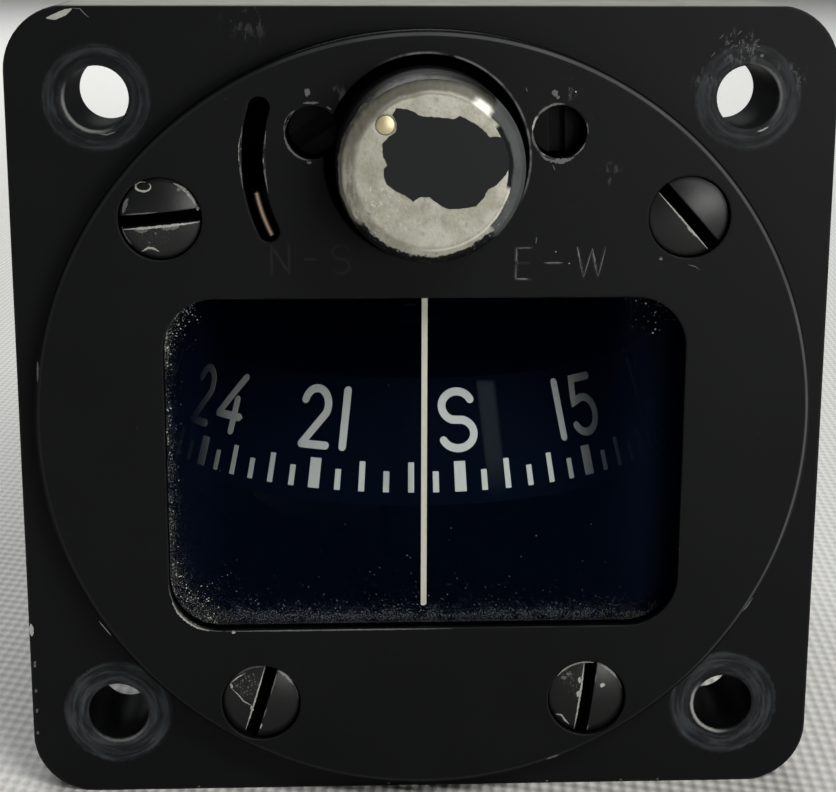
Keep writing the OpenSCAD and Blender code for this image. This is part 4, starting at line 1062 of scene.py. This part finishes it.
def ragged_patch(outline, rough, seed):
    """A flat patch with a ragged edge from its outline: rings of points about its middle."""
    rng = random.Random(seed)
    rim = [(x + rng.uniform(-rough, rough), z + rng.uniform(-rough, rough))
           for x, z in between(outline + outline[:1], 0.16, 1)[:-1]]
    m = len(rim)
    cx = sum(x for x, _ in rim) / m
    cz = sum(z for _, z in rim) / m
    rings = (0.35, 0.7, 0.94, 1.0)
    points = [(cx, cz)]
    for k in rings:
        points += [(cx + (x - cx) * k, cz + (z - cz) * k) for x, z in rim]
    faces = [(0, 1 + i, 1 + (i + 1) % m) for i in range(m)]
    for j in range(len(rings) - 1):
        for i in range(m):
            a, b = 1 + j * m + i, 1 + j * m + (i + 1) % m
            faces.append((a, a + m, b + m, b))
    return points, faces


def cap_paint(mat):
    """Ragged rest of black paint on the lamp cap's face."""
    patch = ragged_patch(CAP_PAINT, 0.03, 5)
    verts, faces = film([patch], lambda u, v, t: (u, CAP_Y + 0.004 - t, LAMP_Z + v), 0.05)
    return piece("cap_paint", verts, faces, mat, "cap")


# Dirt at the window

def flake(rng, x, y, z, size, verts, faces):
    """A low three-sided flake that points forwards from y, added to verts and faces."""
    spin = rng.uniform(0, math.pi)
    base = len(verts)
    for k in range(3):
        a = spin + 2 * math.pi * k / 3
        r = size * rng.uniform(0.7, 1.5)
        verts.append((x + r * math.cos(a), y, z + r * math.sin(a)))
    verts.append((x, y - 0.6 * size, z))
    faces += [(base, base + 1, base + 3), (base + 1, base + 2, base + 3), (base + 2, base, base + 3),
              (base, base + 2, base + 1)]


def corner_flakes(mat):
    """Pale flakes caught on the pane along its left side and in three of its corners."""
    rng = random.Random(17)
    verts, faces = [], []
    on_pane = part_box("window_glass")[0][1] / MM - 0.002
    middle_x = WIN_HALF_W - WIN_CORNER
    upper_z, lower_z = WIN_TOP - WIN_CORNER, WIN_LOW + WIN_CORNER

    def add(x, z):
        flake(rng, x, on_pane, z, 0.014 + 0.05 * rng.random() ** 4, verts, faces)

    # Middle of the corner, number of flakes, angles of the arc, how far they spread inwards
    corners = ((-middle_x, upper_z, 260, (185, 115), 0.35),
               (middle_x, upper_z, 60, (20, 100), 0.8),
               (-middle_x, lower_z, 260, (175, 265), 0.9))
    for cx, cz, count, (first, last), inward in corners:
        for _ in range(count):
            a = math.radians(rng.uniform(first, last))
            r = WIN_CORNER - 0.03 - rng.expovariate(1.0 / inward)
            add(cx + r * math.cos(a), cz + r * math.sin(a))
    for _ in range(200):
        add(-WIN_HALF_W + 0.03 + rng.expovariate(1.0 / 0.35), rng.uniform(lower_z, upper_z))
    return piece("corner_flakes", verts, faces, mat, "case")


def grit(mat):
    """Fine flakes that have settled behind the pane, thick along its left side and its foot."""
    rng = random.Random(11)
    verts, faces = [], []
    made = 0
    while made < 5200:
        x = rng.uniform(-WIN_HALF_W - 0.4, WIN_HALF_W + 0.4)
        z = rng.uniform(WIN_LOW - 0.35, WIN_TOP + 0.3)
        left, right = max(0.0, x + WIN_HALF_W), max(0.0, WIN_HALF_W - x)
        foot, top = max(0.0, z - WIN_LOW), max(0.0, WIN_TOP - z)
        chance = 0.8 * math.exp(-left / 0.55) * (0.45 + 0.55 * min(1.0, top / 14.0))
        chance += 0.9 * math.exp(-foot / 0.6) * (0.5 + 0.5 * min(1.0, right / 20.0))
        chance += 0.15 * math.exp(-right / 0.5)
        chance += 0.75 * max(0.0, 1.0 - math.hypot(left, foot * 1.1) / 8.0) ** 2
        chance += 0.07 * math.exp(-foot / 2.4) + 0.0015
        if rng.random() > chance:
            continue
        y = GLASS_IN_Y + 0.03 + rng.random() * 0.08
        flake(rng, x, y, z, 0.012 + 0.055 * rng.random() ** 6, verts, faces)
        made += 1
    return piece("window_grit", verts, faces, mat, "case")


# Corrugated bellows

def bellows_folds(mat):
    """Corrugated tube in place of the rigid one."""
    middle, half_fold, wall = 11.8, 1.2, 0.9
    folds, steps, around = 4, 8, 72
    rows = folds * steps
    rim = []
    for i in range(rows + 1):
        r = middle - half_fold * math.cos(2 * math.pi * i / steps)
        rim.append((r, BELLOWS_Y + BELLOWS_LEN * i / rows))
    rim += [(r - wall, y) for r, y in reversed(rim)]
    verts, faces, n = [], [], len(rim)
    for k in range(around):
        a = 2 * math.pi * k / around
        verts += [(r * math.cos(a), y, BELLOWS_Z + r * math.sin(a)) for r, y in rim]
    for k in range(around):
        here, there = k * n, (k + 1) % around * n
        for i in range(n):
            j = (i + 1) % n
            faces.append((here + i, here + j, there + j, there + i))
    ob = piece("bellows_folds", verts, faces, mat, None, smooth=True)
    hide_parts("bellows")
    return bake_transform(ob)


# Camera, floor and light

make_camera()
make_floor(cloth_mat())
make_sky()
for light in LIGHTS:
    area_light(*light)
scene.view_settings.view_transform = "Standard"

# Materials

case_paint = worn_paint("case_paint", BLACK, scratches=FLANGE_SCRATCHES, wear=0.36, extra=case_marks)
face_paint = worn_paint("face_paint_worn_shaded", BLACK, scratches=PLATE_SCRATCHES, wear=0.30, edge_r=0.22,
                        extra=plate_marks, edge_share=0.22)
cover_paint = worn_paint("cover_paint", BLACK, wear=0.42)
screw_paint = worn_paint("screw_paint", BLACK, metal=(0.30, 0.29, 0.26), edge_r=0.15, wear=0.30, rough=0.32,
                         spec=0.34, edge_share=0.2, extra=screw_marks)
# Spindles: steel with a black finish, darkened to near black as painted shade in their holes
shaded_black_steel = worn_paint("blackened_steel_shaded", SHADE_BLACK, metal=(0.05, 0.05, 0.05), edge_r=0.10, wear=0.35, spec=0.08)
frame_black = worn_paint("frame_blackened", (0.0010, 0.0011, 0.0013), metal=(0.10, 0.10, 0.10), edge_r=0.15,
                         wear=0.3, spec=0.05)
brass = metal_mat("turned_brass", (0.62, 0.42, 0.17), 0.34)
steel = metal_mat("plain_steel_grey", (0.46, 0.46, 0.47), 0.34)
magnet = metal_mat("magnet_alloy", (0.16, 0.16, 0.17), 0.45)
copper = metal_mat("soft_copper", (0.66, 0.31, 0.17), 0.35)
rivet_brass = metal_mat("rivet_brass", (0.56, 0.48, 0.31), 0.4, tarnish=0.5)
rubber = plain_mat("dull_rubber", (0.010, 0.010, 0.010), 0.7, spec=0.2)
card_black = plain_mat("card_matt_black", (0.0003, 0.0010, 0.0032), 0.7, spec=0.01)
bowl_black = plain_mat("bowl_matt_black", BOWL, 0.7, spec=0.01)
laminate = plain_mat("brown_laminate", (0.16, 0.08, 0.04))
jewel = plain_mat("jewel_polished", (0.35, 0.03, 0.08), 0.12, spec=0.6)
white = plain_mat("card_white", (0.42, 0.455, 0.44), 0.6, vary=0.12, spec=0.1)
legend_ink = plain_mat("legend_cut", (0.012, 0.0122, 0.0125), 0.6, vary=0.7, size=0.3, spec=0.1)
legend_dim = plain_mat("legend_cut_dark", (0.0090, 0.0095, 0.0110), 0.6, vary=0.7, size=0.3, spec=0.1)
bright_wear = plain_mat("wear_bright", (0.30, 0.30, 0.275), 0.45, vary=0.35, size=0.3)
dim_wear = plain_mat("wear_dim", (0.085, 0.087, 0.083), 0.55, vary=0.6, size=0.3, spec=0.3)
flake_mat = plain_mat("flake_pale", (0.62, 0.62, 0.57), 0.8, vary=0.4, size=0.6, spec=0.1)
grit_mat = plain_mat("grit_pale", (0.19, 0.19, 0.17), 0.8, vary=0.6, size=0.6, spec=0.1)
residue = plain_mat("cap_residue", (0.0120, 0.0127, 0.0136), 0.55, vary=0.12, spec=0.10)
block = glass_mat("block_clear", (0.30, 0.32, 0.31), 0.35, 0.15)
bulb = glass_mat("bulb_clear", (0.35, 0.34, 0.32), 0.25, 0.05)

# Finish of every solid

dress("case_body", case_paint)
dress("front_plate", face_paint)
dress("rear_cover", cover_paint)
dress("face_screws", screw_paint)
dress("ns_spindle ew_spindle", shaded_black_steel)
dress("corrector_frame", frame_black)
dress("window_glass", pane_mat())
dress("lubber_line", lubber_mat())
dress("lamp_cap", cap_mat())
dress("dimmer_lever", lever_mat())
dress("cap_rivet", rivet_brass)
dress("light_guide", block)
dress("bulb_glass", bulb)
dress("lamp_insulator", laminate)
dress("jewel", jewel)
dress("card_ring", card_black)
dress("filler_washer", copper)
dress("rear_plate card_float pivot_post card_retainer pivot_hub jewel_holder ring_magnet", bowl_black)
dress("window_seal rear_gasket lead_grommet jewel_cushion", rubber)
dress("lamp_socket lamp_contact bulb_grip bulb_base ns_lead_gear ns_trail_gear ew_lead_gear ew_trail_gear "
      "bellows bellows_ring bellows_end filler_plug", brass)
dress("socket_clip frame_screws gear_studs stud_clips pivot_needle rear_screws", steel)
dress("ns_lead_magnet ns_trail_magnet ew_lead_magnets ew_trail_magnets", magnet)

# Markings, wear and dirt

card_markings(white)
legend("legend_ns", "N-S", -11.24, -5.45, 11.2, 13.45, legend_dim)
legend("legend_ew", "E-W", 6.33, 13.01, 10.7, 13.2, legend_ink)
cap_paint(residue)
bright_marks = Marks("wear_bare", bright_wear, 21)
dim_marks = Marks("wear_rubbed", dim_wear, 22)
screw_wear(bright_marks, dim_marks)
face_wear(bright_marks, dim_marks)
bright_marks.done()
dim_marks.done()
grit(grit_mat)
corner_flakes(flake_mat)
bellows_folds(brass)
